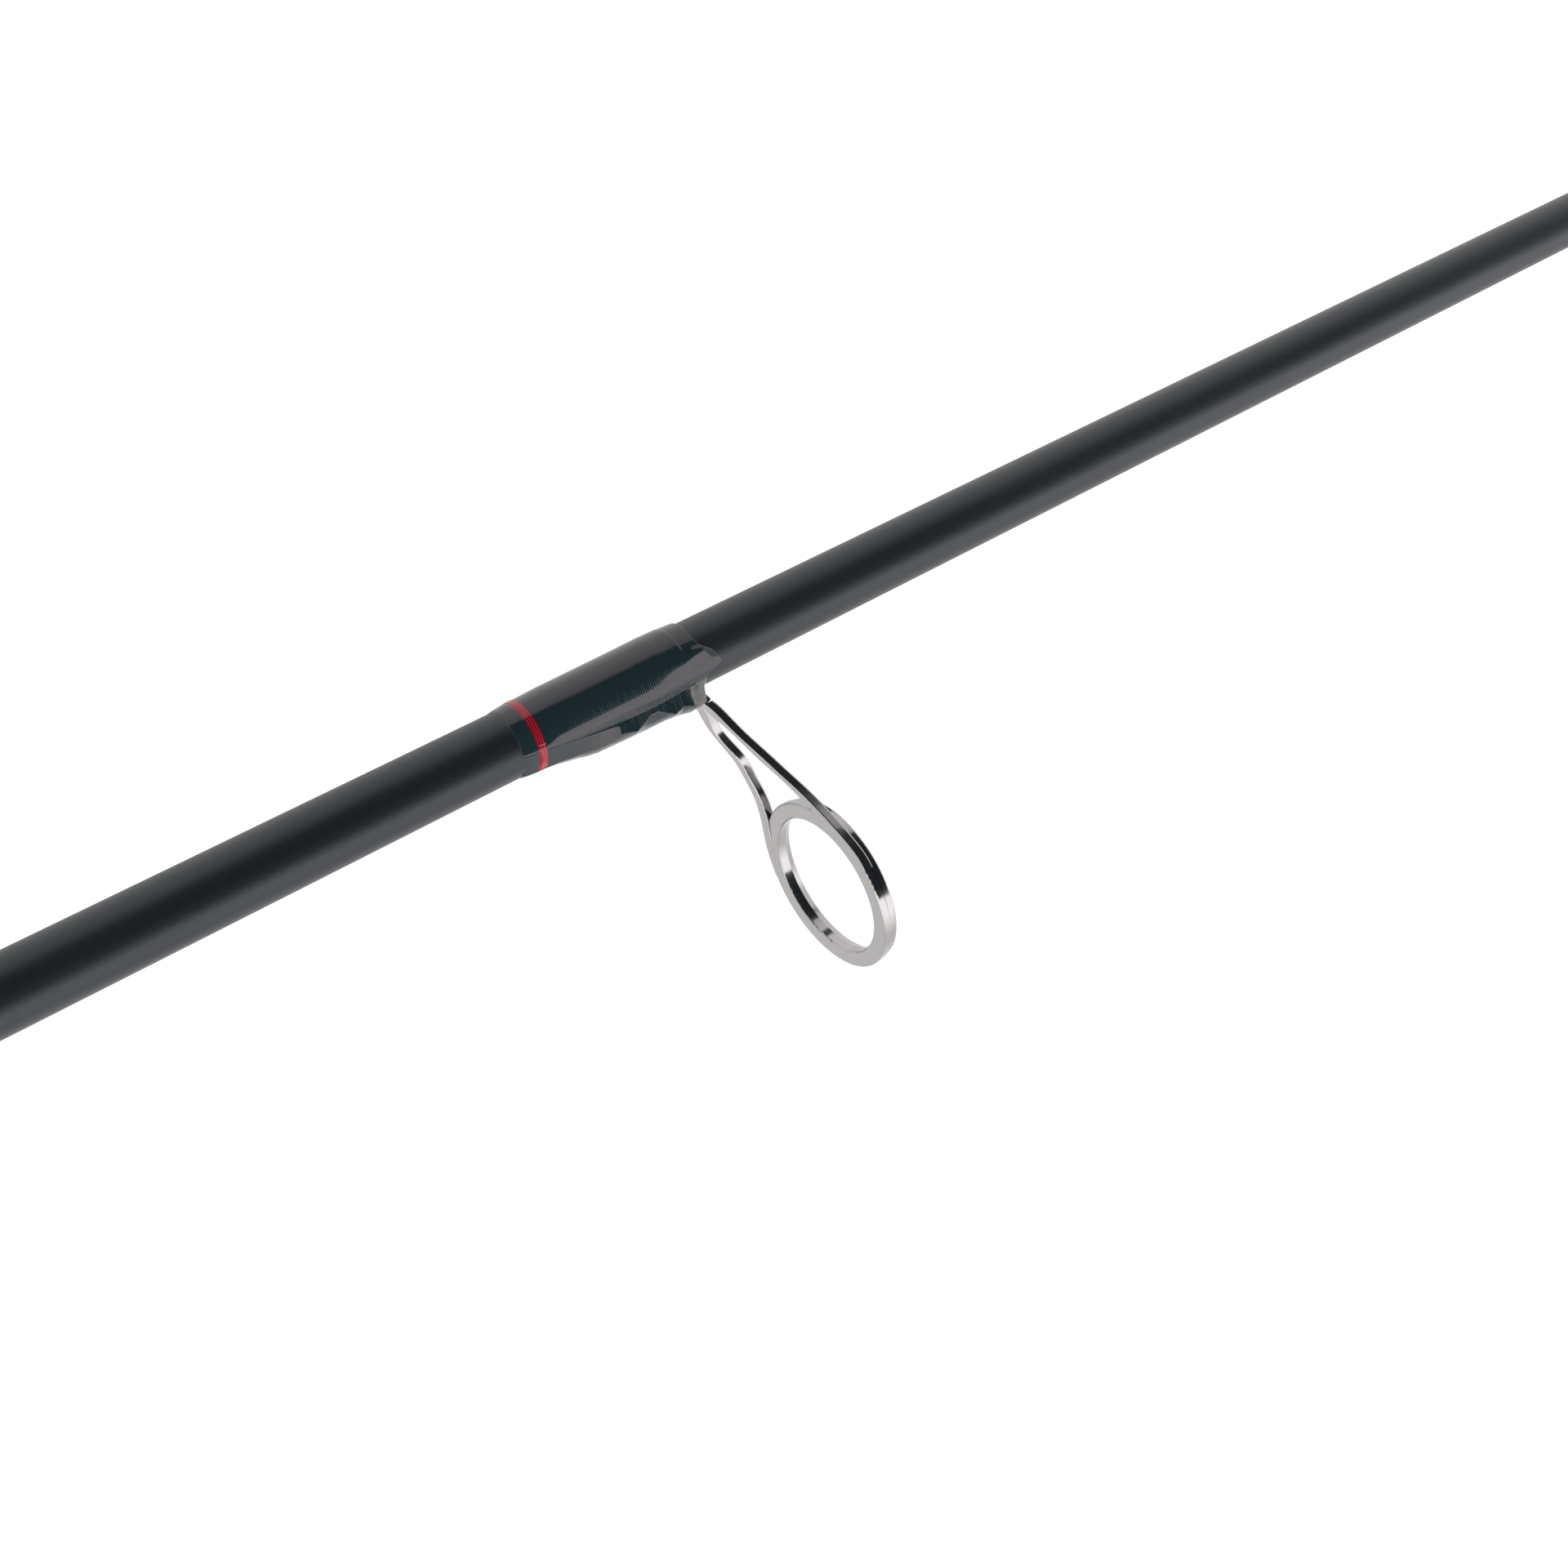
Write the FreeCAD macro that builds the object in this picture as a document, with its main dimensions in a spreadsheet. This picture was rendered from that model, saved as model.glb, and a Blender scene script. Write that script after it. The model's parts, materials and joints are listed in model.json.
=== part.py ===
import FreeCAD, Part

import math
import os
import re

import Sketcher

# A two-piece spinning rod with its reel. Millimetres. The rod's axis is X and points to the tip,
# Z is up, and the guides and the reel hang below the rod. The origin is on the axis at the front
# of the butt cap, where the rear grip begins.

V = FreeCAD.Vector
ALONG_X = FreeCAD.Rotation(V(0, 1, 0), 90)
ALONG_Y = FreeCAD.Rotation(V(1, 0, 0), -90)
X_TO_Y = FreeCAD.Rotation(V(0, 0, 1), 90)

DIMENSIONS = {
    # rod blank: two tapered tubes, joined by a spigot
    "tip_end": 1817,
    "butt_radius": 6.0,
    "tip_radius": 0.97,
    "butt_wall": 1.2,
    "joint_place": 914,
    "joint_gap": 4,
    "spigot_half": 58,
    "spigot_radius": 2.3,
    "running_gap": 0.06,
    # handle
    "cap_length": 12,
    "grip_radius": 14,
    "grip_length": 195,
    "seat_radius": 9.8,
    "seat_length": 117,
    "seat_flat": 8.4,
    "thread_start": 277,
    "thread_pitch": 1.5,
    "thread_depth": 0.6,
    "fore_length": 60,
    "fore_radius": 12.5,
    "check_length": 5,
    "hood_radius": 11.8,
    "hood_length": 20,
    "nut_length": 15,
    "nut_radius": 13,
    # running guide with a 16 mm ring, the pattern that the others are scaled from
    "guide_ring_outer": 8.0,
    "guide_ring_inner": 6.474,
    "guide_height": 20.44,
    "guide_forward": 4.22,
    "guide_tilt": 1.6,
    "sheet_thickness": 0.9,
    "wrap_rear": 17.6,
    "wrap_front": 1.2,
    "wrap_thickness": 0.4,
    "trim_place": 15.69,
    "trim_width": 0.6,
    # reel, whose main shaft is parallel to the rod
    "foot_place": 240,
    "foot_length": 62,
    "foot_width": 13,
    "shaft_depth": 70,
    "shaft_radius": 1.5,
    "gear_drop": 7.5,
    "gear_radius": 19,
    "gear_teeth": 52,
    "pinion_teeth": 10,
    "box_radius": 24,
    "box_width": 26,
    "box_wall": 2.2,
    "cover_thickness": 2.8,
    "cover_screw_radius": 1.1,
    "lever_drop": 14,
    "rotor_start": 270,
    "rotor_radius": 21.5,
    "spool_radius": 23.6,
    "spool_start": 292,
    "skirt_length": 12,
    "line_width": 15,
    "line_radius": 20,
    "line_hub_radius": 14,
    "bail_pivot": 306,
    "bail_rest_angle": 35,
    "bail_pivot_radius": 1.6,
    "roller_pin_radius": 1.3,
    "crank_length": 52,
    "knob_pin_radius": 2,
}

doc = FreeCAD.newDocument("fishing_rod_and_reel")
sheet = doc.addObject("Spreadsheet::Sheet", "dims")
for row, (name, value) in enumerate(DIMENSIONS.items(), start=1):
    sheet.set(f"A{row}", name)
    sheet.set(f"B{row}", str(value))
    sheet.setAlias(f"B{row}", name)
doc.recompute()

kept = []


# ---- helpers: sizes are written in the sheet's own words, such as "grip_radius - 2" ----

def size(text):
    """The number that a text of sheet words comes to."""
    return float(sheet.evalExpression(str(text)))


def linked(text):
    """The same text as other objects write it, with the sheet's name before each word."""
    return re.sub(r"[a-z_]{2,}", lambda word: "dims." + word.group(), str(text))


def bind(item, **texts):
    for name, text in texts.items():
        item.setExpression(name, linked(text))


def place(item, at, turn=FreeCAD.Rotation()):
    item.Placement = FreeCAD.Placement(V(*[size(text) for text in at]), turn)
    for axis, text in zip("xyz", at):
        item.setExpression(f"Placement.Base.{axis}", linked(text))


def keep(item, label):
    """Marks an object as one of the sub-parts that are written out."""
    item.Label = label
    kept.append(item)
    return item


def blank_at(x):
    """Outer radius of the blank at x, in sheet words."""
    return f"(butt_radius - (butt_radius - tip_radius) * ({x}) / tip_end)"


def outline_sketch(body, plane, outline):
    """A closed sketch of straight lines whose corners are bound to the sheet."""
    sketch = body.newObject("Sketcher::SketchObject", body.Name + "_outline")
    datum = [item for item in body.Origin.OriginFeatures if item.Role == plane][0]
    sketch.AttachmentSupport = (datum, [""])
    sketch.MapMode = "FlatFace"
    corners = [V(size(a), size(b), 0) for a, b in outline]
    count = len(corners)
    for index in range(count):
        sketch.addGeometry(Part.LineSegment(corners[index], corners[(index + 1) % count]))
    for index in range(count):
        sketch.addConstraint(Sketcher.Constraint("Coincident", index, 2, (index + 1) % count, 1))
    for index, texts in enumerate(outline):
        for kind, axis, text in zip(("DistanceX", "DistanceY"), (-2, -1), texts):
            if abs(size(text)) < 1e-9:
                sketch.addConstraint(Sketcher.Constraint("PointOnObject", index, 1, axis))
                continue
            number = sketch.addConstraint(
                Sketcher.Constraint(kind, -1, 1, index, 1, size(text)))
            sketch.setExpression(f"Constraints[{number}]", linked(text))
    return sketch


def round_edges(body, base, name, radius, wanted):
    """Rounds the edges of a body's last feature that the test wanted accepts."""
    doc.recompute()
    edges = [f"Edge{n}" for n, edge in enumerate(base.Shape.Edges, start=1) if wanted(edge)]
    fillet = body.newObject("PartDesign::Fillet", name)
    fillet.Base = (base, edges)
    bind(fillet, Radius=radius)
    return fillet


def turned(label, outline, at=("0", "0", "0"), rounded=(), radius="1", turn=FreeCAD.Rotation()):
    """A body turned about its own X axis; outline is (along that axis, radius) pairs.

    rounded lists the corners of the outline, by number, whose edges are rounded."""
    body = doc.addObject("PartDesign::Body", label)
    place(body, at, turn)
    sketch = outline_sketch(body, "XY_Plane", outline)
    round_body = body.newObject("PartDesign::Revolution", label + "_turn")
    round_body.Profile = sketch
    round_body.ReferenceAxis = (sketch, ["H_Axis"])
    round_body.Angle = 360
    body.Tip = round_body
    if rounded:
        spots = [(size(outline[n][0]), size(outline[n][1])) for n in rounded]

        def wanted(edge):
            curve = edge.Curve
            if not isinstance(curve, Part.Circle):
                return False
            return any(abs(curve.Center.x - x) < 0.01 and abs(curve.Radius - r) < 0.01
                       for x, r in spots)

        body.Tip = round_edges(body, round_body, label + "_round", radius, wanted)
    return body


def plate(label, outline, width, at=("0", "0", "0"), radius=None):
    """A body with a side outline of (x, z) pairs, width wide and centred on at."""
    body = doc.addObject("PartDesign::Body", label)
    place(body, at)
    sketch = outline_sketch(body, "XZ_Plane", outline)
    pad = body.newObject("PartDesign::Pad", label + "_pad")
    pad.Profile = sketch
    pad.Midplane = True
    bind(pad, Length=width)
    body.Tip = pad
    if radius:
        body.Tip = round_edges(body, pad, label + "_round", radius, lambda edge: True)
    return body


def block(name, length, width, height, at):
    item = doc.addObject("Part::Box", name)
    bind(item, Length=length, Width=width, Height=height)
    place(item, at)
    return item


def bar(name, radius, length, at, turn=ALONG_X):
    item = doc.addObject("Part::Cylinder", name)
    bind(item, Radius=radius, Height=length)
    place(item, at, turn)
    return item


def joined(name, pieces):
    item = doc.addObject("Part::MultiFuse", name)
    item.Shapes = pieces
    return item


def cut(name, base, tool):
    item = doc.addObject("Part::Cut", name)
    item.Base = base
    item.Tool = tool
    return item


def solid(label, shape, at=(0, 0, 0), turn=FreeCAD.Rotation()):
    """A sub-part whose shape is worked out here from the sheet's sizes."""
    item = doc.addObject("Part::Feature", label)
    item.Shape = shape
    item.Placement = FreeCAD.Placement(V(*at), turn).multiply(shape.Placement)
    return keep(item, label)


# ---- blank and ferrule ----

BUTT_END = "joint_place - joint_gap / 2"
TIP_START = "joint_place + joint_gap / 2"
SPIGOT_REACH = "(joint_gap / 2 + spigot_half)"


def blanks():
    keep(turned("butt_blank", [
        ("0", "butt_radius - butt_wall"),
        ("0", "butt_radius"),
        (BUTT_END, blank_at(BUTT_END)),
        (BUTT_END, "spigot_radius"),
        (f"joint_place - {SPIGOT_REACH}", "spigot_radius"),
    ]), "butt_blank")
    keep(turned("tip_blank", [
        (TIP_START, "spigot_radius + running_gap"),
        (TIP_START, blank_at(TIP_START)),
        ("tip_end", "tip_radius"),
        ("tip_end", "0"),
        ("tip_end - 40", "0"),
        (f"joint_place + {SPIGOT_REACH} + 2", "spigot_radius + running_gap"),
    ]), "tip_blank")
    keep(turned("ferrule_spigot", [
        (f"joint_place - {SPIGOT_REACH}", "0"),
        (f"joint_place - {SPIGOT_REACH}", "spigot_radius"),
        (f"joint_place + {SPIGOT_REACH}", "spigot_radius"),
        (f"joint_place + {SPIGOT_REACH}", "0"),
    ], rounded=[2], radius="1"), "ferrule_spigot")


# ---- handle ----

SEAT_START = "grip_length"
SEAT_END = "(grip_length + seat_length)"
FORE_END = f"({SEAT_END} + fore_length)"
CHECK_END = f"({FORE_END} + check_length)"


def handle():
    keep(turned("butt_cap", [
        ("-cap_length", "0"),
        ("-cap_length", "grip_radius"),
        ("0", "grip_radius"),
        ("0", "0"),
    ], rounded=[1], radius="3"), "butt_cap")
    keep(turned("rear_grip", [
        ("0", "butt_radius"),
        ("0", "grip_radius"),
        ("grip_length - 14", "grip_radius"),
        ("grip_length", "hood_radius"),
        ("grip_length", blank_at("grip_length")),
    ]), "rear_grip")
    keep(turned("fore_grip", [
        (SEAT_END, blank_at(SEAT_END)),
        (SEAT_END, "fore_radius"),
        (f"{SEAT_END} + 18", "fore_radius"),
        (f"{FORE_END} - 4", "8.5"),
        (FORE_END, "7.5"),
        (FORE_END, blank_at(FORE_END)),
    ], rounded=[2], radius="12"), "fore_grip")
    keep(turned("winding_check", [
        (FORE_END, blank_at(FORE_END)),
        (FORE_END, "7.2"),
        (f"{CHECK_END} - 2", "7.2"),
        (CHECK_END, "5.8"),
        (CHECK_END, blank_at(CHECK_END)),
    ], rounded=[2], radius="0.8"), "winding_check")
    reel_seat()
    hood("fixed_hood", "grip_length + 1", "seat_radius", "foot_place - foot_length / 2 - 0.3", "1")
    hood("sliding_hood", "foot_place + foot_length / 2 - 9", "seat_radius + running_gap",
         "foot_place + foot_length / 2 + 0.4", "-1")
    lock_nut()


def reel_seat():
    """The seat is a sleeve on the blank: a flat below takes the foot, and a thread takes the nut."""
    outline = [(SEAT_START, blank_at(SEAT_START)), (SEAT_START, "seat_radius")]
    for turn in range(22):
        start = f"thread_start + {turn} * thread_pitch"
        outline.append((start, "seat_radius"))
        outline.append((f"{start} + thread_pitch / 2", "seat_radius - thread_depth"))
    outline.append((SEAT_END, "seat_radius"))
    outline.append((SEAT_END, blank_at(SEAT_END)))
    sleeve = turned("seat_sleeve", outline)
    flat = block("seat_flat_cut", "foot_length + 6", "seat_radius * 2", "seat_radius",
                 ("foot_place - foot_length / 2 - 1", "-seat_radius", "-seat_flat - seat_radius"))
    keep(cut("reel_seat_body", sleeve, flat), "reel_seat_body")


def hood(label, start, bore, foot_end, side):
    """A sleeve with a pouch below that holds one end of the reel's foot.

    side is 1 where the pouch opens forward and -1 where it opens to the rear."""
    sleeve = bar(label + "_sleeve", "hood_radius", "hood_length", (start, "0", "0"))
    pouch = plate(label + "_pouch", [
        (f"{start} + 9.5 - 9.5 * {side}", "-5"),
        (f"{start} + 9.5 + 10.5 * {side}", "-5"),
        (f"{start} + 9.5 + 10.5 * {side}", "-seat_flat - 4.6"),
        (f"{start} + 9.5", "-seat_flat - 4.6"),
        (f"{start} + 9.5 - 9.5 * {side}", "-hood_radius + 0.4"),
    ], "foot_width + 4", radius=None)
    shell = joined(label + "_shell", [sleeve, pouch])
    bore_cut = bar(label + "_bore", bore, "hood_length + 4", (f"{start} - 2", "0", "0"))
    pocket = block(label + "_pocket", "20", "foot_width + 0.7", "6",
                   (f"{foot_end} - 10 + 10 * {side}", "-foot_width / 2 - 0.35", "-seat_flat - 3.3"))
    keep(cut(label, shell, joined(label + "_hollow", [bore_cut, pocket])), label)


NUT_START = "(foot_place + foot_length / 2 + hood_length - 8.5)"


def lock_nut():
    """The nut pushes the sliding hood; its rim is fluted for the fingers."""
    flutes = 16
    rim = turned("lock_nut_rim", [
        (NUT_START, "seat_radius + running_gap"),
        (NUT_START, "nut_radius"),
        (f"{NUT_START} + nut_length", "nut_radius"),
        (f"{NUT_START} + nut_length", "seat_radius + running_gap"),
    ], rounded=[1, 2], radius="1")
    grooves = []
    for index in range(flutes):
        angle = 360 * index / flutes
        reach = f"(nut_radius + 1) * {math.cos(math.radians(angle)):.6f}"
        rise = f"(nut_radius + 1) * {math.sin(math.radians(angle)):.6f}"
        grooves.append(bar(f"flute_{index}", "1.5", "nut_length + 2",
                           (f"{NUT_START} - 1", reach, rise)))
    keep(cut("lock_nut", rim, joined("lock_nut_flutes", grooves)), "lock_nut")


# ---- guides ----

# One leg of the pattern guide at depths below the blank: how far forward its rear face is, and its
# outer and inner edges, measured sideways from the middle.
LEG_STATIONS = [
    (1.45, 0.06, 1.05, 0.00),
    (2.40, 0.42, 1.45, 0.25),
    (3.70, 0.78, 1.85, 1.05),
    (6.20, 1.71, 2.31, 1.55),
    (9.20, 2.76, 3.25, 2.45),
    (11.7, 3.46, 4.42, 3.45),
    (14.2, 3.83, 5.87, 4.80),
    (16.7, 4.05, 7.30, 6.20),
    (19.2, 4.17, 7.99, 7.00),
]
NECK_WIDTH = 2.1
NECK_BEND = 1.0
NECK_TURN = 70
FOOT_LENGTH = 14.0


def rounded_strip(middle, across, through, width, thickness, rounding=0.16):
    """A closed wire round a strip's section, with small rounds at its four corners."""
    half_w, half_t = width / 2, thickness / 2
    flat_w, flat_t = half_w - rounding, half_t - rounding
    lean = rounding * (1 - math.sqrt(0.5))
    corners = [(1, 1), (-1, 1), (-1, -1), (1, -1)]

    def spot(a, b):
        return middle + across * a + through * b

    edges = []
    for number, (a, b) in enumerate(corners):
        side = spot(a * half_w, b * flat_t)
        top = spot(a * flat_w, b * half_t)
        corner = spot(a * (half_w - lean), b * (half_t - lean))
        first, last = (side, top) if number % 2 == 0 else (top, side)
        edges.append(Part.Arc(first, corner, last).toShape())
        c, d = corners[(number + 1) % 4]
        reached = spot(c * flat_w, d * half_t) if number % 2 == 0 else spot(c * half_w, d * flat_t)
        edges.append(Part.LineSegment(last, reached).toShape())
    return Part.Wire(edges)


def guide_ring(outer, inner, thickness):
    """A flat ring about X with its rear face at x = 0 and a rolled lip behind it, on the tip side."""
    lip = thickness * 0.75
    outline = [
        V(0, inner, 0),
        V(0, outer, 0),
        V(thickness * 0.8, outer, 0),
        V(thickness * 0.8, outer - 0.8, 0),
        V(thickness, outer - 0.8, 0),
        V(thickness, outer - 0.25, 0),
        V(thickness + lip, outer - 0.2, 0),
        V(thickness + lip, inner + 0.35, 0),
        V(thickness, inner, 0),
    ]
    face = Part.Face(Part.makePolygon(outline + outline[:1]))
    ring = face.revolve(V(0, 0, 0), V(1, 0, 0), 360)
    soft = []
    for edge in ring.Edges:
        curve = edge.Curve
        if isinstance(curve, Part.Circle) and curve.Center.x < 0.01:
            soft.append(edge)
        elif isinstance(curve, Part.Circle) and curve.Center.x > thickness + lip - 0.01:
            soft.append(edge)
    return ring.makeFillet(0.16, soft)


def leg(side, thickness):
    sections = []
    for depth, forward, outer, inner in LEG_STATIONS:
        middle = V(forward + thickness / 2, side * (outer + inner) / 2, -depth)
        sections.append(rounded_strip(middle, V(0, 1, 0), V(1, 0, 0), outer - inner, thickness))
    return Part.makeLoft(sections, True, False)


def neck_and_foot(thickness):
    """The foot lies under the blank, and its end bends down into the neck."""
    bend_x = LEG_STATIONS[0][1] - NECK_BEND * math.sin(math.radians(NECK_TURN))
    top = V(bend_x, 0, -thickness / 2)
    strip = Part.Face(rounded_strip(top, V(0, 1, 0), V(0, 0, 1), NECK_WIDTH, thickness))
    centre = V(bend_x, 0, -thickness - NECK_BEND)
    neck = strip.revolve(centre, V(0, 1, 0), NECK_TURN)
    tail = rounded_strip(V(-FOOT_LENGTH, 0, -0.15), V(0, 1, 0), V(0, 0, 1), 1.2, 0.3, 0.1)
    root = rounded_strip(top, V(0, 1, 0), V(0, 0, 1), NECK_WIDTH, thickness, 0.1)
    return neck.fuse(Part.makeLoft([tail, root], True, True))


def single_foot_frame():
    """The pattern guide, stamped from one sheet. Its origin is on the blank's underside."""
    thickness = size("sheet_thickness")
    ring = guide_ring(size("guide_ring_outer"), size("guide_ring_inner"), thickness)
    tilt = FreeCAD.Rotation(V(0, 1, 0), -size("guide_tilt"))
    ring.Placement = FreeCAD.Placement(
        V(size("guide_forward"), 0, -size("guide_height")), tilt)
    pieces = [leg(1, thickness), leg(-1, thickness), neck_and_foot(thickness)]
    return ring.multiFuse(pieces).removeSplitter()


def scaled(shape, factor):
    grown = shape.copy()
    grown.scale(factor)
    return grown


def stripper_frame(pattern, factor):
    """The largest guide has a second foot in front, on a brace from the back of the ring."""
    frame = scaled(pattern, factor)
    ring_x = size("guide_forward") * factor
    ring_top = (size("guide_height") - size("guide_ring_outer")) * factor
    brace = [
        V(ring_x + 0.4, -1.4, -ring_top - 1.6),
        V(ring_x + 8.2, -1.4, -3.4),
        V(ring_x + 12.5, -1.4, 0),
        V(ring_x + 27, -1.4, 0),
        V(ring_x + 27, -1.4, -0.35),
        V(ring_x + 13.8, -1.4, -1.1),
        V(ring_x + 9.6, -1.4, -3.6),
        V(ring_x + 1.6, -1.4, -ring_top - 1.6),
    ]
    side = Part.Face(Part.makePolygon(brace + brace[:1]))
    return frame.fuse(side.extrude(V(0, 2.8, 0)))


def coat(x_root, rear, front, factor):
    """A turned coat of thread and varnish round the blank, from rear to front of x_root."""
    thick = size("wrap_thickness") * factor
    start, end = x_root - rear, x_root + front
    stations = [(start, 0), (start + 0.5, 0.6), (start + 2.5, 0.85), (x_root - rear * 0.4, 1.0),
                (end - 1.2, 0.8), (end, 0)]
    outside = [V(x, size(blank_at(x)) + thick * part, 0) for x, part in stations]
    inside = [V(end, size(blank_at(end)) - 0.5, 0), V(start, size(blank_at(start)) - 0.5, 0)]
    face = Part.Face(Part.makePolygon(outside + inside + outside[:1]))
    return face.revolve(V(0, 0, 0), V(1, 0, 0), 360)


def round_section(x, drop, radius):
    return Part.Wire(Part.makeCircle(radius, V(x, 0, -drop), V(1, 0, 0)))


def foot_cover(x_root, rear, front, factor):
    """The swelling of the coat over a foot: it leans down to the neck and falls away in front."""
    here = size(blank_at(x_root))
    thick = size("wrap_thickness") * factor
    sections = [
        round_section(x_root - rear * 0.85, 0, size(blank_at(x_root - rear * 0.85)) + thick * 0.8),
        round_section(x_root - rear * 0.4, 0.9 * factor, here - 0.1 * factor),
        round_section(x_root, 1.3 * factor, here - 0.1 * factor),
        round_section(x_root + front, 0, size(blank_at(x_root + front)) + thick * 0.3),
    ]
    return Part.makeLoft(sections, True, True)


def blank_core(x_low, x_high):
    """The part of the blank's outside that a coat sits on."""
    return Part.makeCone(size(blank_at(x_low)), size(blank_at(x_high)), x_high - x_low,
                         V(x_low, 0, 0), V(1, 0, 0))


def trim_zone(x_middle, width):
    """The space that a narrow band of coloured thread fills in the coat's outer layer."""
    radius = size(blank_at(x_middle))
    outer = Part.makeCylinder(radius + 3, width, V(x_middle - width / 2, 0, 0), V(1, 0, 0))
    inner = Part.makeCylinder(radius + 0.12, width, V(x_middle - width / 2, 0, 0), V(1, 0, 0))
    return outer.cut(inner)


def largest(shape):
    return max(shape.Solids, key=lambda piece: piece.Volume)


def seated(frame, x_root):
    """A frame moved under the blank at x_root and cut to the blank's surface."""
    frame = frame.copy()
    frame.translate(V(x_root, 0, -size(blank_at(x_root))))
    return frame.cut(blank_core(x_root - 50, x_root + 50))


def guide_wrap(x_root, factor, frame, faces_tip=False):
    """The coat over one foot and its band of trim, both cut to fit the blank and the frame."""
    rear, front = size("wrap_rear") * factor, size("wrap_front") * factor
    whole = coat(x_root, rear, front, factor).fuse(foot_cover(x_root, rear, front, factor))
    band_x = x_root - size("trim_place") * factor
    if faces_tip:
        turn = FreeCAD.Rotation(V(0, 0, 1), 180)
        whole.Placement = FreeCAD.Placement(V(2 * x_root, 0, 0), turn).multiply(whole.Placement)
        band_x = 2 * x_root - band_x
    whole = whole.cut(blank_core(x_root - rear - 9, x_root + rear + 9)).cut(frame)
    zone = trim_zone(band_x, size("trim_width") * factor)
    return largest(whole.cut(zone)), whole.common(zone)


# Guides from the butt to the tip: name, place of the neck, ring's outer diameter.
RUNNING_GUIDES = [("second", 1156, 16), ("third", 1336, 12), ("fourth", 1484, 10),
                  ("fifth", 1610, 8.4), ("sixth", 1718, 8)]
STRIPPER = (832, 25)


def guides():
    pattern = single_foot_frame()
    bands = []
    for name, x_root, diameter in RUNNING_GUIDES:
        factor = diameter / (2 * size("guide_ring_outer"))
        frame = seated(scaled(pattern, factor), x_root)
        wrap, band = guide_wrap(x_root, factor, frame)
        solid(f"{name}_guide_frame", frame)
        solid(f"{name}_guide_wrap", wrap)
        bands.append(band)
    solid("tip_trim_bands", Part.makeCompound(bands))
    x_root, diameter = STRIPPER
    factor = diameter / (2 * size("guide_ring_outer"))
    frame = seated(stripper_frame(pattern, factor), x_root)
    rear_wrap, rear_band = guide_wrap(x_root, factor, frame)
    front_root = x_root + size("guide_forward") * factor + 12
    front_wrap, front_band = guide_wrap(front_root, 1.0, frame, faces_tip=True)
    solid("stripper_guide_frame", frame)
    solid("stripper_guide_wraps", Part.makeCompound([rear_wrap, front_wrap]))
    solid("butt_trim_bands", Part.makeCompound([rear_band, front_band]))
    plain_wraps(tip_top())


def tip_top():
    """The last guide is a tube pushed over the tip, with a ring on two struts below it.

    Returns the wrap that covers the tube's end."""
    end = size("tip_end")
    radius = size(blank_at("tip_end - 11"))
    tube = Part.makeCylinder(radius + 0.45, 13, V(end - 11, 0, 0), V(1, 0, 0))
    tube = tube.cut(blank_core(end - 12, end))
    centre = V(end + 4, 0, -5.2)
    ring = guide_ring(3.6, 2.5, 0.8)
    ring.Placement = FreeCAD.Placement(centre, FreeCAD.Rotation(V(0, 1, 0), -12))
    struts = []
    for side in (-1, 1):
        first, last = V(end - 8, side * 0.9, -0.9), centre + V(0.6, side * 2.9, 1.0)
        run = last - first
        struts.append(Part.makeCylinder(0.42, run.Length, first, run))
    struts = [strut.cut(blank_core(end - 12, end)) for strut in struts]
    frame = tube.multiFuse(struts + [ring])
    solid("tip_top", frame)
    wrap = coat(end - 13, 5, 3, 0.8).cut(blank_core(end - 30, end)).cut(frame)
    return wrap


def plain_wraps(tip_top_wrap):
    """Wraps with no guide's foot under them: at the ferrule, the tip top and the hook keeper."""
    joint, gap = size("joint_place"), size("joint_gap")
    core = blank_core(joint - 60, joint + 60)
    ferrule_tip = coat(joint + gap / 2 + 21, 20, 4, 0.8).cut(core)
    ferrule_butt = coat(joint - gap / 2 - 5, 20, 4, 0.8).cut(core)
    solid("tip_plain_wraps", Part.makeCompound([ferrule_tip, tip_top_wrap]))
    keeper = hook_keeper_shape()
    x_keeper = size(CHECK_END) + 32
    pieces = [coat(x_keeper - 4, 6, 2, 1.0), coat(x_keeper + 9, 2, 6, 1.0)]
    core = blank_core(x_keeper - 30, x_keeper + 30)
    pieces = [largest(piece.cut(core).cut(keeper)) for piece in pieces]
    solid("butt_plain_wraps", Part.makeCompound(pieces + [ferrule_butt]))
    solid("hook_keeper", keeper)


def hook_keeper_shape():
    """A bent wire loop under the blank that holds the hook; its two ends lie along the blank."""
    x_keeper = size(CHECK_END) + 32
    wire = 0.55
    line = -size(blank_at(x_keeper - 10)) - wire
    low = line - 3.4
    corners = [V(x_keeper - 9, 0, line), V(x_keeper - 2, 0, line), V(x_keeper + 0.6, 0, low),
               V(x_keeper + 4.4, 0, low), V(x_keeper + 7, 0, line), V(x_keeper + 14, 0, line)]
    bend = 1.1
    edges = []
    reached = corners[0]
    for before, corner, after in zip(corners, corners[1:], corners[2:]):
        inward, outward = (before - corner).normalize(), (after - corner).normalize()
        half = inward.getAngle(outward) / 2
        reach = bend / math.tan(half)
        first, last = corner + inward * reach, corner + outward * reach
        middle = (inward + outward).normalize()
        top = corner + middle * (bend / math.sin(half) - bend)
        edges.append(Part.LineSegment(reached, first).toShape())
        edges.append(Part.Arc(first, top, last).toShape())
        reached = last
    edges.append(Part.LineSegment(reached, corners[-1]).toShape())
    section = Part.Wire(Part.makeCircle(wire, corners[0], V(1, 0, 0)))
    return Part.Wire(edges).makePipeShell([section], True, False)


# ---- reel ----

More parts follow.
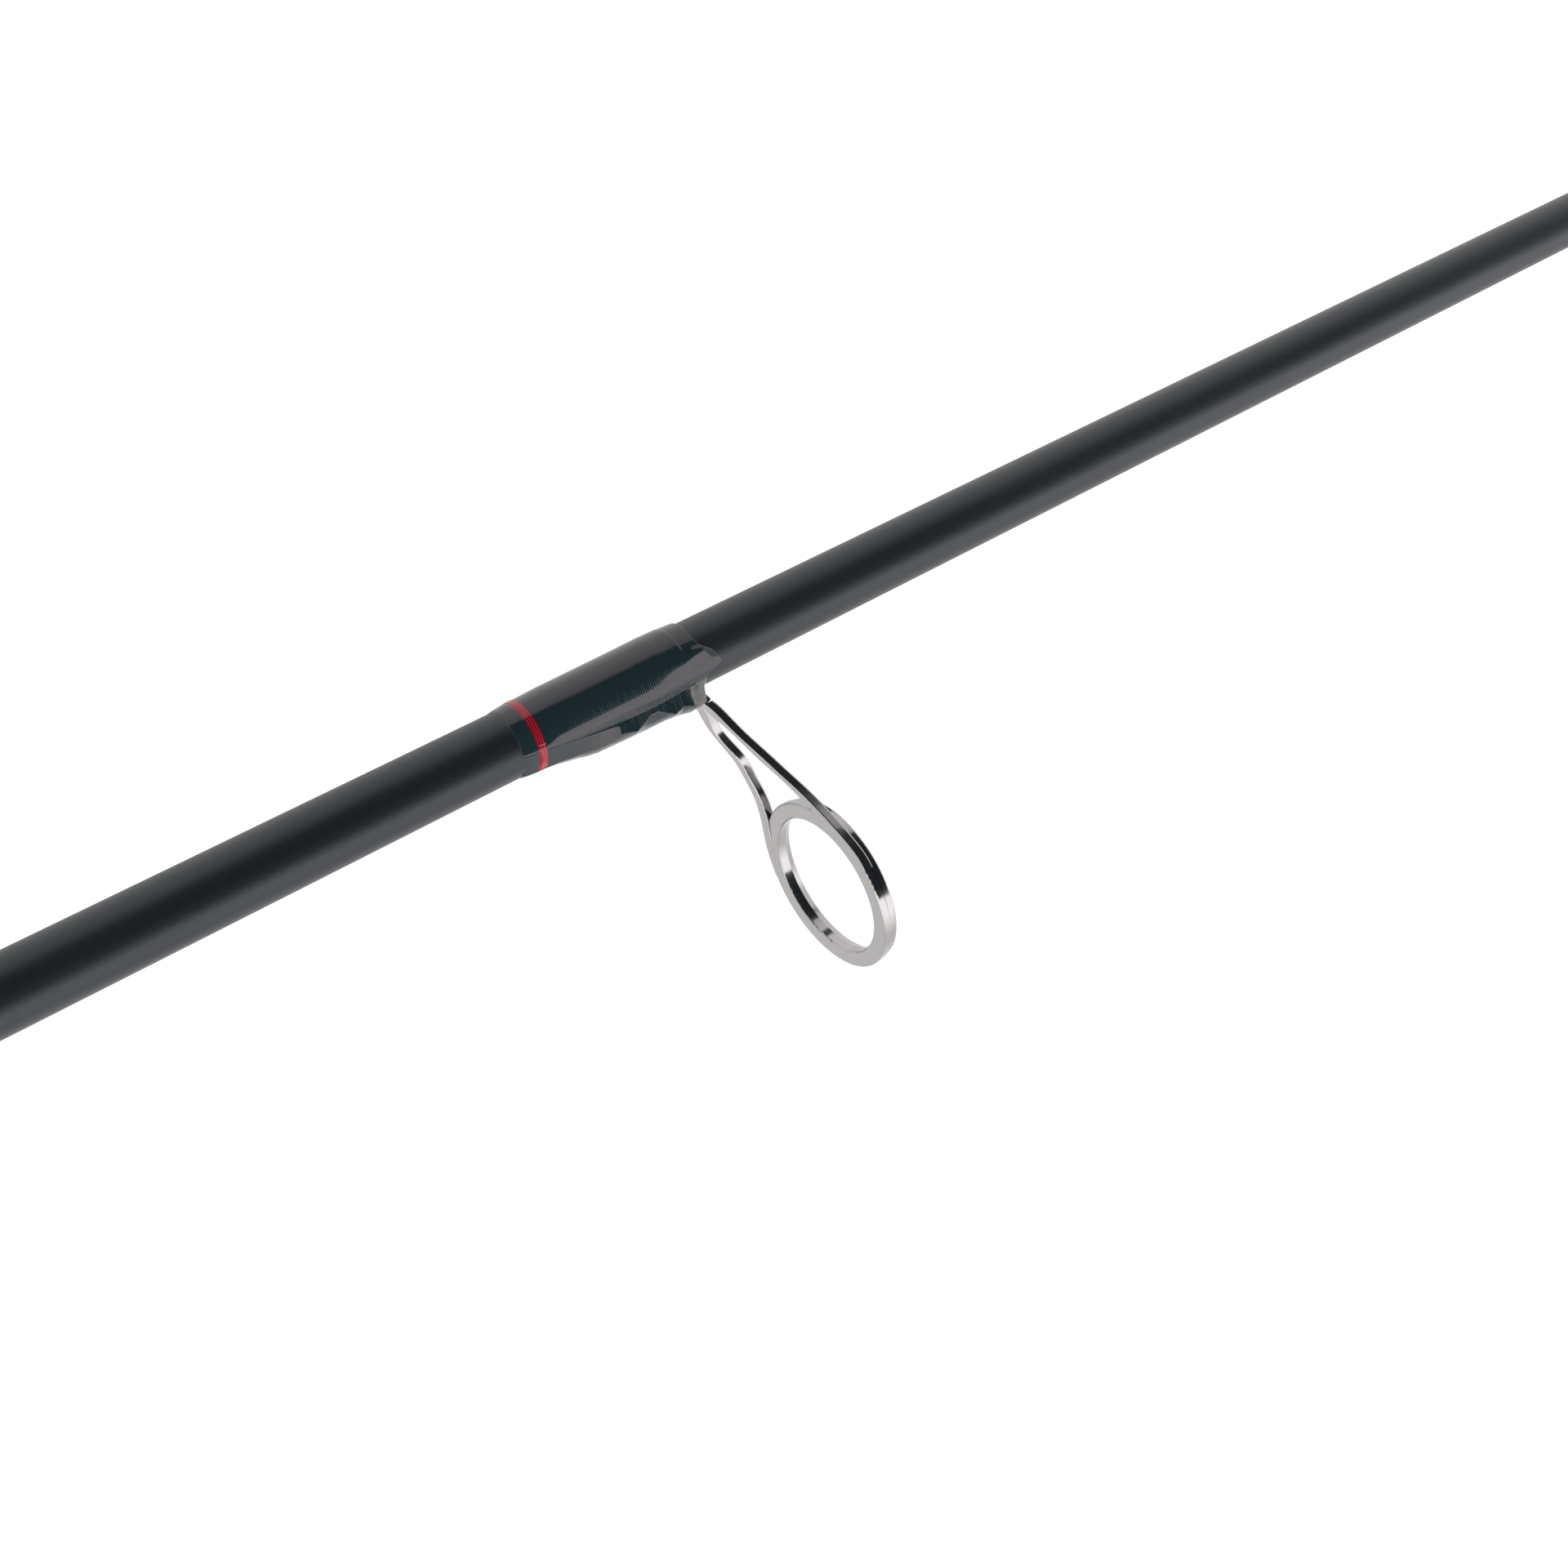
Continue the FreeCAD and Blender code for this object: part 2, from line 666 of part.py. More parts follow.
SHAFT = ("0", "0", "-shaft_depth")
GEAR_DEPTH = "(shaft_depth + gear_drop)"
GEAR_AXIS = ("foot_place", "0", f"-{GEAR_DEPTH}")
GEARBOX_FRONT = "(rotor_start - 2)"
COLLAR_END = "(rotor_start + 11)"
BEARING_RADIUS = "7"
CLUTCH_RADIUS = "9.5"
DRIVE_SHAFT_RADIUS = "3.5"
SIDE_BEARING_RADIUS = "6.5"
SLEEVE_RADIUS = "3"
COVER_SCREWS = [90, 210, 330]
COVER_SCREW_REACH = 19.5
COVER_FACE = "(-box_width / 2 - cover_thickness)"


def across(name, radius, low, high, x="foot_place", depth=GEAR_DEPTH):
    """A round bar along Y from low to high."""
    return bar(name, radius, f"({high}) - ({low})", (x, low, f"-{depth}"), ALONG_Y)


def along(name, radius, low, high):
    """A round bar on the main shaft's axis from low to high."""
    return bar(name, radius, f"({high}) - ({low})", (low, "0", "-shaft_depth"))


def around_gear(angle, reach):
    """The x and depth, in sheet words, of a place round the drive gear's axis."""
    x = f"(foot_place + {reach * math.cos(math.radians(angle)):.4f})"
    depth = f"({GEAR_DEPTH} - {reach * math.sin(math.radians(angle)):.4f})"
    return x, depth


def housing():
    """Foot, stem and gearbox are one casting, open on the right for the side cover."""
    foot = plate("reel_foot", [
        ("foot_place - foot_length / 2", "-seat_flat"),
        ("foot_place + foot_length / 2", "-seat_flat"),
        ("foot_place + foot_length / 2", "-seat_flat - 1.6"),
        ("foot_place + 9", "-seat_flat - 4.2"),
        ("foot_place - 9", "-seat_flat - 4.2"),
        ("foot_place - foot_length / 2", "-seat_flat - 1.6"),
    ], "foot_width")
    stem = plate("reel_stem", [
        ("foot_place - 14", "-seat_flat - 3"),
        ("foot_place + 12", "-seat_flat - 3"),
        ("foot_place + 7", "-seat_flat - 14"),
        ("foot_place + 13", "-shaft_depth + 10"),
        ("foot_place - 11", "-shaft_depth + 10"),
        ("foot_place - 8", "-seat_flat - 16"),
    ], "8", radius="2.2")
    drum = turned("gearbox_drum", [
        ("-box_width / 2", "0"),
        ("-box_width / 2", "box_radius"),
        ("box_width / 2", "box_radius"),
        ("box_width / 2", "0"),
    ], at=GEAR_AXIS, rounded=[2], radius="5", turn=X_TO_Y)
    nose = turned("gearbox_nose", [
        ("foot_place + 6", "0"),
        ("foot_place + 6", "12.5"),
        (f"{GEARBOX_FRONT} - 6", "15"),
        (GEARBOX_FRONT, "14"),
        (GEARBOX_FRONT, "11"),
        (COLLAR_END, "11"),
        (COLLAR_END, "0"),
    ], at=SHAFT)
    tail = turned("gearbox_tail", [
        ("foot_place - 36", "0"),
        ("foot_place - 36", "9"),
        ("foot_place - 14", "13"),
        ("foot_place - 14", "0"),
    ], at=SHAFT)
    lug = block("lever_lug", "14", "8", "12", ("foot_place - 36", "-4", "-shaft_depth - 18"))
    boss = across("drive_boss", "9", "box_width / 2 - 1", "box_width / 2 + 4")
    posts = [across(f"post_{n}", "2.8", "-box_width / 2", "-9", *around_gear(a, COVER_SCREW_REACH))
             for n, a in enumerate(COVER_SCREWS)]
    cavity = across("gear_space", "box_radius - box_wall", "-box_width / 2 - 1",
                    "box_width / 2 - box_wall")
    outside = joined("housing_outside", [foot, stem, drum, nose, tail, lug, boss])
    shell = cut("housing_shell", outside, cut("gear_space_free", cavity, joined("posts", posts)))
    ways = [
        along("pinion_way", "4.3", "foot_place + 10", COLLAR_END + " + 1"),
        along("bearing_seat", BEARING_RADIUS, "rotor_start - 3", COLLAR_END + " + 1"),
        along("clutch_seat", CLUTCH_RADIUS, "rotor_start + 3.5", COLLAR_END + " + 1"),
        along("shaft_way", "shaft_radius + running_gap", "foot_place - 37", "foot_place - 10"),
        across("side_bearing_seat", SIDE_BEARING_RADIUS, "box_width / 2 - 4", "box_width / 2 + 2"),
        across("drive_way", "4.2", "0", "box_width / 2 + 5"),
        bar("lever_pin_way", "1.2 + running_gap", "11",
            ("foot_place - 37", "0", "-shaft_depth - lever_drop")),
    ]
    ways += [across(f"post_way_{n}", "cover_screw_radius", "-box_width / 2 - 1", "-10.4",
                    *around_gear(a, COVER_SCREW_REACH)) for n, a in enumerate(COVER_SCREWS)]
    ways.append(across("cover_space", "box_radius", "-box_width / 2 - cover_thickness - 2",
                       "-box_width / 2"))
    keep(cut("reel_housing", shell, joined("housing_ways", ways)), "reel_housing")


def covers():
    """The side cover and its screws, the cap over the shaft's end, and the tail cover."""
    disc = turned("side_cover_disc", [
        (COVER_FACE, "0"),
        (COVER_FACE, "box_radius - 2"),
        ("-box_width / 2 - 1", "box_radius"),
        ("-box_width / 2", "box_radius"),
        ("-box_width / 2", f"{SIDE_BEARING_RADIUS} + 2"),
        ("-8.8", f"{SIDE_BEARING_RADIUS} + 2"),
        ("-8.8", SIDE_BEARING_RADIUS),
        ("-box_width / 2 + 0.4", SIDE_BEARING_RADIUS),
        ("-box_width / 2 + 0.4", "0"),
    ], at=GEAR_AXIS, rounded=[1], radius="1", turn=X_TO_Y)
    places = [around_gear(angle, COVER_SCREW_REACH) for angle in COVER_SCREWS]
    holes = [across(f"cover_hole_{n}", "cover_screw_radius", f"{COVER_FACE} - 1",
                    "-box_width / 2 + 0.5", *spot) for n, spot in enumerate(places)]
    keep(cut("side_cover", disc, joined("cover_holes", holes)), "side_cover")
    screws = []
    for number, spot in enumerate(places):
        screws.append(across(f"screw_shank_{number}", "cover_screw_radius", COVER_FACE, "-10.6",
                             *spot))
        screws.append(across(f"screw_head_{number}", "2", f"{COVER_FACE} - 1", COVER_FACE, *spot))
    keep(joined("cover_screws", screws), "cover_screws")
    keep(turned("shaft_cap", [
        (COVER_FACE, "0"),
        (COVER_FACE, "7"),
        (f"{COVER_FACE} - 2.7", "6.4"),
        (f"{COVER_FACE} - 2.7", "0"),
    ], at=GEAR_AXIS, rounded=[2], radius="1", turn=X_TO_Y), "shaft_cap")
    keep(turned("tail_cover", [
        ("foot_place - 40", "0"),
        ("foot_place - 40", "8"),
        ("foot_place - 36", "9"),
        ("foot_place - 36", "0"),
    ], at=SHAFT, rounded=[1], radius="3"), "tail_cover")
    lever_pin = bar("lever_pin", "1.2", "9.5",
                    ("foot_place - 37", "0", "-shaft_depth - lever_drop"))
    lever_arm = plate("lever_arm", [
        ("foot_place - 39.6", "-shaft_depth - 11"),
        ("foot_place - 36.4", "-shaft_depth - 11"),
        ("foot_place - 36.4", "-shaft_depth - 22"),
        ("foot_place - 41.6", "-shaft_depth - 26"),
        ("foot_place - 42.6", "-shaft_depth - 24"),
        ("foot_place - 39.6", "-shaft_depth - 21"),
    ], "5")
    keep(joined("anti_reverse_lever", [lever_arm, lever_pin]), "anti_reverse_lever")


def bearing(label, outer, inner, start, length, at, turn=FreeCAD.Rotation()):
    """A shielded ball bearing: two races, with the shields set back between them."""
    middle = f"(({outer}) + ({inner})) / 2"
    return turned(label, [
        (start, inner),
        (start, f"{middle} - 1"),
        (f"{start} + 0.3", f"{middle} - 1"),
        (f"{start} + 0.3", f"{middle} + 1"),
        (start, f"{middle} + 1"),
        (start, outer),
        (f"{start} + {length}", outer),
        (f"{start} + {length}", inner),
    ], at=at, turn=turn)


def toothed(count, root, tip, width, low, high, first):
    """A wheel about Z from low to high with straight teeth; the first tooth is at angle first."""
    wheel = Part.makeCylinder(root, high - low, V(0, 0, low))
    teeth = []
    for number in range(count):
        tooth = Part.makeBox(tip - root + 0.5, width, high - low, V(root - 0.5, -width / 2, low))
        tooth.rotate(V(0, 0, 0), V(0, 0, 1), first + 360 * number / count)
        teeth.append(tooth)
    return wheel.multiFuse(teeth)


def drive_train():
    """Handle, drive gear, pinion and the small gears that move the spool to and fro."""
    keep(bearing("pinion_bearing", BEARING_RADIUS, f"{SLEEVE_RADIUS} + running_gap",
                 "rotor_start - 2.6", "5", SHAFT), "pinion_bearing")
    keep(bearing("one_way_clutch", CLUTCH_RADIUS, f"{SLEEVE_RADIUS} + running_gap",
                 "rotor_start + 4", "6", SHAFT), "one_way_clutch")
    left = bearing("left_side_bearing", SIDE_BEARING_RADIUS, DRIVE_SHAFT_RADIUS + " + running_gap",
                   "box_width / 2 - 2", "4", GEAR_AXIS, X_TO_Y)
    right = bearing("right_side_bearing", SIDE_BEARING_RADIUS,
                    DRIVE_SHAFT_RADIUS + " + running_gap",
                    "-box_width / 2 + 0.4", "3.8", GEAR_AXIS, X_TO_Y)
    keep(joined("side_bearings", [left, right]), "side_bearings")
    gear_x, gear_depth = size("foot_place"), size(GEAR_DEPTH)
    to_y = ALONG_Y
    teeth, drop = int(size("gear_teeth")), size("gear_drop")
    reach = math.sqrt(size("gear_radius") ** 2 - drop ** 2)
    disc = Part.makeCylinder(size("gear_radius") + 1.5, 2.5, V(0, 4.3, 0), V(0, 1, 0))
    shaft = Part.makeCylinder(size(DRIVE_SHAFT_RADIUS), 29.7, V(0, -12.4, 0), V(0, 1, 0))
    hub = Part.makeCylinder(6, 3.5, V(0, 6.5, 0), V(0, 1, 0))
    crown = []
    for number in range(teeth):
        tooth = Part.makeBox(3, 1.2, 0.7, V(reach - 1.5, 3.2, drop - 0.35))
        tooth.rotate(V(0, 0, 0), V(0, 1, 0), 360 * number / teeth)
        crown.append(tooth)
    cross_gear = toothed(12, 4.1, 5.3, 0.9, -8.2, -5.2, 180)
    cross_gear.rotate(V(0, 0, 0), V(1, 0, 0), -90)
    drive = disc.multiFuse([shaft, hub, cross_gear] + crown)
    solid("drive_gear", drive, (gear_x, 0, -gear_depth))
    cross = toothed(18, 6.5, 7.7, 0.9, -8.2, -5.2, 10)
    pin = Part.makeCylinder(1.2, 2.0, V(-5, 0, -5.4))
    axle = Part.makeCylinder(1.5, 4.4, V(0, 0, -12.6))
    solid("oscillation_gear", cross.multiFuse([pin, axle]), (gear_x - 12, 0, -gear_depth), to_y)
    start = gear_x + reach - 3
    pinion = toothed(int(size("pinion_teeth")), 2.7, 3.8, 0.8, 0, 6, 18)
    sleeve = Part.makeCylinder(size(SLEEVE_RADIUS), 33.5, V(0, 0, 6))
    hole = Part.makeCylinder(size("shaft_radius + running_gap"), 42, V(0, 0, -1))
    pinion = pinion.fuse(sleeve).cut(hole)
    pinion.rotate(V(0, 0, 0), V(0, 0, 1), 90)
    solid("pinion_gear", pinion, (start, 0, -size("shaft_depth")), ALONG_X)
    main_shaft()


def main_shaft():
    keep(along("main_shaft", "shaft_radius", "foot_place - 32", "spool_start + 37"), "main_shaft")
    slider = block("slider_block", "8", "5.6", "6.6",
                   ("foot_place - 18", "-2.8", "-shaft_depth - 2.8"))
    bore = along("slider_bore", "shaft_radius", "foot_place - 19", "foot_place - 9")
    slot = block("slider_slot", "2.8", "1", "10", ("foot_place - 15.4", "-2.9", "-shaft_depth - 3"))
    keep(cut("oscillation_slider", slider, joined("slider_ways", [bore, slot])),
         "oscillation_slider")


def handle_crank():
    """The crank stands out from the gearbox so that it passes the rotor; its knob spins."""
    gear_x, gear_depth = size("foot_place"), size(GEAR_DEPTH)
    long = size("crank_length")
    hub = Part.makeCylinder(5.5, 13.7, V(0, 17.3, 0), V(0, 1, 0))
    path = [V(0, 28.5, -1), V(0, 29, -9), V(0, 39, -29), V(0, 39, -long)]
    widths = [9, 9, 8, 7.5]
    pieces = [hub]
    for first, last, before, after in zip(path, path[1:], widths, widths[1:]):
        through = (last - first).normalize().cross(V(1, 0, 0))
        ends = [rounded_strip(first, V(1, 0, 0), through, before, 4, 1.2),
                rounded_strip(last, V(1, 0, 0), through, after, 4, 1.2)]
        pieces.append(Part.makeLoft(ends, True, True))
    for spot, width in zip(path[1:3], widths[1:3]):
        pieces.append(Part.makeCylinder(2, width, spot - V(width / 2, 0, 0), V(1, 0, 0)))
    pieces.append(Part.makeCylinder(3.75, 4, V(0, 37, -long), V(0, 1, 0)))
    crank = pieces[0].multiFuse(pieces[1:])
    hole = Part.makeCylinder(size("knob_pin_radius"), 6, V(0, 36, -long), V(0, 1, 0))
    solid("handle_arm", crank.cut(hole), (gear_x, 0, -gear_depth))
    at = ("foot_place", "0", f"-{GEAR_DEPTH} - crank_length")
    keep(across("knob_spindle", "knob_pin_radius", "37", "62", depth=f"({GEAR_DEPTH} + crank_length)"),
         "knob_spindle")
    keep(turned("handle_knob", [
        ("41.4", "knob_pin_radius + running_gap"),
        ("41.4", "7"),
        ("47", "6.5"),
        ("56", "11.5"),
        ("64", "10"),
        ("66", "6"),
        ("66", "0"),
        ("62.6", "0"),
        ("62.6", "knob_pin_radius + running_gap"),
    ], at=at, rounded=[2, 3, 4], radius="2", turn=X_TO_Y), "handle_knob")


ARM_MIDDLE = 26.4
ARM_THICKNESS = 4
BAIL_REACH = 24
BAIL_FACE = 28.9
BAIL_THICKNESS = 2.4


def rotor():
    """A cup with two arms that stand out beside the spool and carry the bail."""
    cup = turned("rotor_cup", [
        ("rotor_start", "rotor_radius - 2"),
        ("rotor_start", "rotor_radius + 2.5"),
        ("rotor_start + 8", "rotor_radius + 2.5"),
        ("rotor_start + 14", "rotor_radius"),
        ("rotor_start + 30", "rotor_radius"),
        ("rotor_start + 30", "rotor_radius - 2"),
        ("rotor_start + 17", "rotor_radius - 2"),
        ("rotor_start + 17", SLEEVE_RADIUS),
        ("rotor_start + 14", SLEEVE_RADIUS),
        ("rotor_start + 14", "rotor_radius - 2"),
    ], at=SHAFT, rounded=[2], radius="2")
    pieces = [cup]
    holes = []
    for side, label in ((1, "left"), (-1, "right")):
        pieces.append(plate(f"{label}_rotor_arm", [
            ("rotor_start + 1", "-9"),
            ("rotor_start + 1", "9"),
            ("rotor_start + 20", "8"),
            ("bail_pivot + 5", "5.5"),
            ("bail_pivot + 5", "-5.5"),
            ("rotor_start + 20", "-8"),
        ], ARM_THICKNESS, at=("0", str(side * ARM_MIDDLE), "-shaft_depth"), radius="1.2"))
        low = 21 if side > 0 else -26
        pieces.append(block(f"{label}_arm_root", "7", "5", "16",
                            ("rotor_start + 1.5", str(low), "-shaft_depth - 8")))
        low = 23 if side > 0 else -30
        holes.append(across(f"{label}_pivot_hole", "bail_pivot_radius", str(low), str(low + 7),
                            x="bail_pivot", depth="shaft_depth"))
    keep(cut("rotor", joined("rotor_body", pieces), joined("pivot_holes", holes)), "rotor")
    nut = Part.makeCylinder(5.6, 3, V(0, 0, 0), V(1, 0, 0))
    flats = Part.Face(Part.makePolygon([
        V(0, 5.6 * math.cos(math.radians(60 * n)), 5.6 * math.sin(math.radians(60 * n)))
        for n in range(7)])).extrude(V(3, 0, 0))
    hole = Part.makeCylinder(size(SLEEVE_RADIUS), 5, V(-1, 0, 0), V(1, 0, 0))
    solid("rotor_nut", nut.common(flats).cut(hole),
          (size("rotor_start") + 17, 0, -size("shaft_depth")))
    pivot = (size("bail_pivot"), 0, -size("shaft_depth"))
    screws = []
    for side in (1, -1):
        shank = Part.makeCylinder(size("bail_pivot_radius"), 7.1, V(0, side * 24.6, 0),
                                  V(0, side, 0))
        head = Part.makeCylinder(3.4, 1.4, V(0, side * 31.7, 0), V(0, side, 0))
        screws.append(shank.fuse(head.makeFillet(0.5, [head.Edges[0]])))
    solid("bail_pivot_screws", Part.makeCompound(screws), pivot)


def bail():
    """Two arms and a wire between them, hinged on the rotor; the line runs over the roller."""
    pivot = (size("bail_pivot"), 0, -size("shaft_depth"))
    rest = FreeCAD.Rotation(V(0, 1, 0), size("bail_rest_angle"))
    pin = size("roller_pin_radius")
    arms = {}
    for side, label in ((1, "bail_arm"), (-1, "bail_far_arm")):
        start = V(0, side * BAIL_FACE, 0)
        out = V(0, side, 0)
        end = V(BAIL_REACH, side * BAIL_FACE, 0)
        web = Part.Face(Part.makePolygon([
            V(0, side * BAIL_FACE, 5.4), V(BAIL_REACH, side * BAIL_FACE, 3.4),
            V(BAIL_REACH, side * BAIL_FACE, -3.4), V(0, side * BAIL_FACE, -5.4),
            V(0, side * BAIL_FACE, 5.4)])).extrude(out * BAIL_THICKNESS)
        arm = web.multiFuse([Part.makeCylinder(5.5, BAIL_THICKNESS, start, out),
                             Part.makeCylinder(3.6, BAIL_THICKNESS, end, out)])
        bore = size("bail_pivot_radius + running_gap")
        arm = arm.cut(Part.makeCylinder(bore, 9, start - out * 3, out))
        if side > 0:
            arm = arm.cut(Part.makeCylinder(pin, 9, end - out * 3, out))
        arms[side] = arm
        solid(label, arm, pivot, rest)
    path = Part.BSplineCurve()
    path.interpolate([V(24, -BAIL_FACE, 0), V(35, -27, 0), V(46, 0, 0), V(37, 21, 0),
                      V(26.2, 23.7, 0)])
    spine = Part.Wire(path.toShape())
    ring = Part.Wire(Part.makeCircle(1.0, path.StartPoint, path.tangent(path.FirstParameter)[0]))
    wire = spine.makePipeShell([ring], True, False)
    collar = Part.makeCylinder(3.2, 2.0, V(BAIL_REACH, 22.7, 0), V(0, 1, 0))
    wire = wire.fuse(collar).cut(Part.makeCylinder(pin, 9, V(BAIL_REACH, 20, 0), V(0, 1, 0)))
    solid("bail_wire", wire.cut(arms[-1]), pivot, rest)
    shank = Part.makeCylinder(pin, 8.6, V(BAIL_REACH, 22.7, 0), V(0, 1, 0))
    head = Part.makeCylinder(2.6, 1.2, V(BAIL_REACH, BAIL_FACE + BAIL_THICKNESS, 0), V(0, 1, 0))
    solid("roller_screw", shank.fuse(head), pivot, rest)
    groove = [V(0, 25.0, 0), V(3.2, 25.0, 0), V(2.6, 26.8, 0), V(3.2, 28.6, 0), V(0, 28.6, 0)]
    outline = Part.Face(Part.makePolygon(groove + groove[:1]))
    roller = outline.revolve(V(0, 0, 0), V(0, 1, 0), 360)
    bore = size("roller_pin_radius + running_gap")
    roller = roller.cut(Part.makeCylinder(bore, 9, V(0, 22, 0), V(0, 1, 0)))
    roller.translate(V(BAIL_REACH, 0, 0))
    solid("line_roller", roller, pivot, rest)


LINE_START = "(spool_start + skirt_length)"
LINE_END = "(spool_start + skirt_length + line_width)"


def spool():
    """The skirted spool, its line, its clip, the drag washers in its front and the drag knob."""
    keep(turned("spool", [
        ("spool_start", "spool_radius - 1.3"),
        ("spool_start", "spool_radius"),
        (LINE_START, "spool_radius"),
        (LINE_START, "line_hub_radius"),
        (LINE_END, "line_hub_radius"),
        (LINE_END, "spool_radius - 1.8"),
        ("spool_start + 30", "spool_radius - 1.8"),
        ("spool_start + 30", "9.2"),
        ("spool_start + 21", "9.2"),
        ("spool_start + 21", "shaft_radius + running_gap"),
        ("spool_start + 18.5", "shaft_radius + running_gap"),
        ("spool_start + 18.5", "12"),
        ("spool_start + 10.5", "12"),
        ("spool_start + 10.5", "spool_radius - 1.3"),
    ], at=SHAFT, rounded=[5, 6], radius="1.1"), "spool")
    keep(turned("line_pack", [
        (LINE_START, "line_hub_radius"),
        (LINE_START, "line_radius"),
        (f"({LINE_START} + {LINE_END}) / 2", "line_radius + 0.6"),
        (LINE_END, "line_radius"),
        (LINE_END, "line_hub_radius"),
    ], at=SHAFT), "line_pack")
    clip = block("clip_block", "7", "3", "3", ("spool_start + 2.5", "-1.5", "-shaft_depth + 21"))
    clip_bar = along("clip_inside", "spool_radius", "spool_start", LINE_START)
    clip_limit = along("clip_outside", "spool_radius + 0.45", "spool_start", LINE_START)
    trimmed = doc.addObject("Part::MultiCommon", "clip_trimmed")
    trimmed.Shapes = [clip, clip_limit]
    keep(cut("line_clip", trimmed, clip_bar), "line_clip")
    washers = [("spool_start + 21", "shaft_radius + 0.3")]
    for layer in range(6):
        radius = "9" if layer % 2 else "8.6"
        washers.append((f"spool_start + 21 + {layer} * 1.2", radius))
        washers.append((f"spool_start + 21 + {layer + 1} * 1.2", radius))
    washers.append(("spool_start + 28.2", "shaft_radius + 0.3"))
    keep(turned("drag_washers", washers, at=SHAFT), "drag_washers")
    dial = turned("drag_dial", [
        ("spool_start + 30.4", "shaft_radius + running_gap"),
        ("spool_start + 30.4", "8.6"),
        ("spool_start + 33", "10"),
        ("spool_start + 38", "9.4"),
        ("spool_start + 38", "0"),
        ("spool_start + 37.4", "0"),
        ("spool_start + 37.4", "shaft_radius + running_gap"),
    ], at=SHAFT, rounded=[3], radius="1")
    grip = block("drag_grip", "3.4", "17", "3.2",
                 ("spool_start + 37.6", "-8.5", "-shaft_depth - 1.6"))
    keep(joined("drag_knob", [dial, grip]), "drag_knob")


# ---- making, checking and writing ----

def write_parts():
    doc.recompute()
    for item in doc.Objects:
        if {"Invalid", "Error"} & set(item.State):
            raise SystemExit(f"{item.Label} failed: {item.State}")
    os.makedirs("parts", exist_ok=True)
    for item in kept:
        shape = item.Shape
        if shape.isNull() or not shape.isValid():
            raise SystemExit(f"{item.Label} has no valid shape")
        shape.exportStep(f"parts/{item.Label}.step")
        print(f"{item.Label}: {len(shape.Solids)} solid, {shape.Volume:.0f} mm3")


blanks()
handle()
guides()
housing()
covers()
drive_train()
handle_crank()
rotor()
bail()
spool()
write_parts()
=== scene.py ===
import json
import math

import bpy
from mathutils import Matrix, Vector

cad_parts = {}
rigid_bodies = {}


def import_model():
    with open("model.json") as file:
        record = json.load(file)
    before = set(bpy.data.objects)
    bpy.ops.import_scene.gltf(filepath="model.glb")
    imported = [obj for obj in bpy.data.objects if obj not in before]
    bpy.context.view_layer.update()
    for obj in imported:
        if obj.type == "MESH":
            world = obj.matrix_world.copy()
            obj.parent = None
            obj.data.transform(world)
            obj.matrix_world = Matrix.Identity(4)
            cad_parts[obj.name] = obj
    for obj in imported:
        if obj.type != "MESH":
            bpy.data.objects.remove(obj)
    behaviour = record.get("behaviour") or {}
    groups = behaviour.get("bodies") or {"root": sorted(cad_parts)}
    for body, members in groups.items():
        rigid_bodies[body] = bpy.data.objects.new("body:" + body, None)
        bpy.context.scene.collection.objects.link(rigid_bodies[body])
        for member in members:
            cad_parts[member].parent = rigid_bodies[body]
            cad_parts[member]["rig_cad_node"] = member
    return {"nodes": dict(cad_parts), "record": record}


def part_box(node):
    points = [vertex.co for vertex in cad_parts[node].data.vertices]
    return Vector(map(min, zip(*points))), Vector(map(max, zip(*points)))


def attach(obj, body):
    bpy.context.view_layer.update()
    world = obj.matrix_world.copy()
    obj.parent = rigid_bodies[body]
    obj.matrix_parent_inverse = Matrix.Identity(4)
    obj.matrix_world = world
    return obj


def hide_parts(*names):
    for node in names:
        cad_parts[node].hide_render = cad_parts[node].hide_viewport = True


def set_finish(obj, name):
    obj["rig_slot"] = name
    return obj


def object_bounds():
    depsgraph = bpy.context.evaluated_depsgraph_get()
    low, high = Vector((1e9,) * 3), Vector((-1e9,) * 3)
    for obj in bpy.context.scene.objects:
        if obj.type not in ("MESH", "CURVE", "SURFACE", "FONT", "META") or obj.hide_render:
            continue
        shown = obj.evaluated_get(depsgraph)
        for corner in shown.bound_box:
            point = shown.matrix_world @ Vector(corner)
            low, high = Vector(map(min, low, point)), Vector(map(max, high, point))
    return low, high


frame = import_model()
cad_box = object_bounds()

MM = 0.001
SLOT_OF = {part["node"]: part["material_slot"] for part in frame["record"]["subparts"]}


# ---- places and sizes, in millimetres ----

GUIDE = "second_guide_frame"
butt_low, butt_high = [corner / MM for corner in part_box("butt_blank")]
tip_low, tip_high = [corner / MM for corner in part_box("tip_blank")]
spigot_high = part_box("ferrule_spigot")[1] / MM
taper = (butt_high.z - tip_high.z) / (tip_low.x - butt_low.x)
# Lacquer over the CAD's blank, the gap between spigot and bore, and the blank's rounded edges.
LACQUER, SLIDING_GAP, EDGE = 0.07, 0.06, 0.3
# The guide's foot runs back from its root, where the legs leave the blank.
FOOT_LENGTH = 14.0
root_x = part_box(GUIDE)[0].x / MM + FOOT_LENGTH
# One turn of the wrap's thread, and one turn of the line on the spool.
THREAD_PITCH, LINE_PITCH = 0.23, 0.28


def blank_radius(x):
    """Outer radius of the lacquered blank at x, both in millimetres."""
    return butt_high.z + LACQUER - taper * (x - butt_low.x)


# ---- mesh helpers: all take millimetres ----

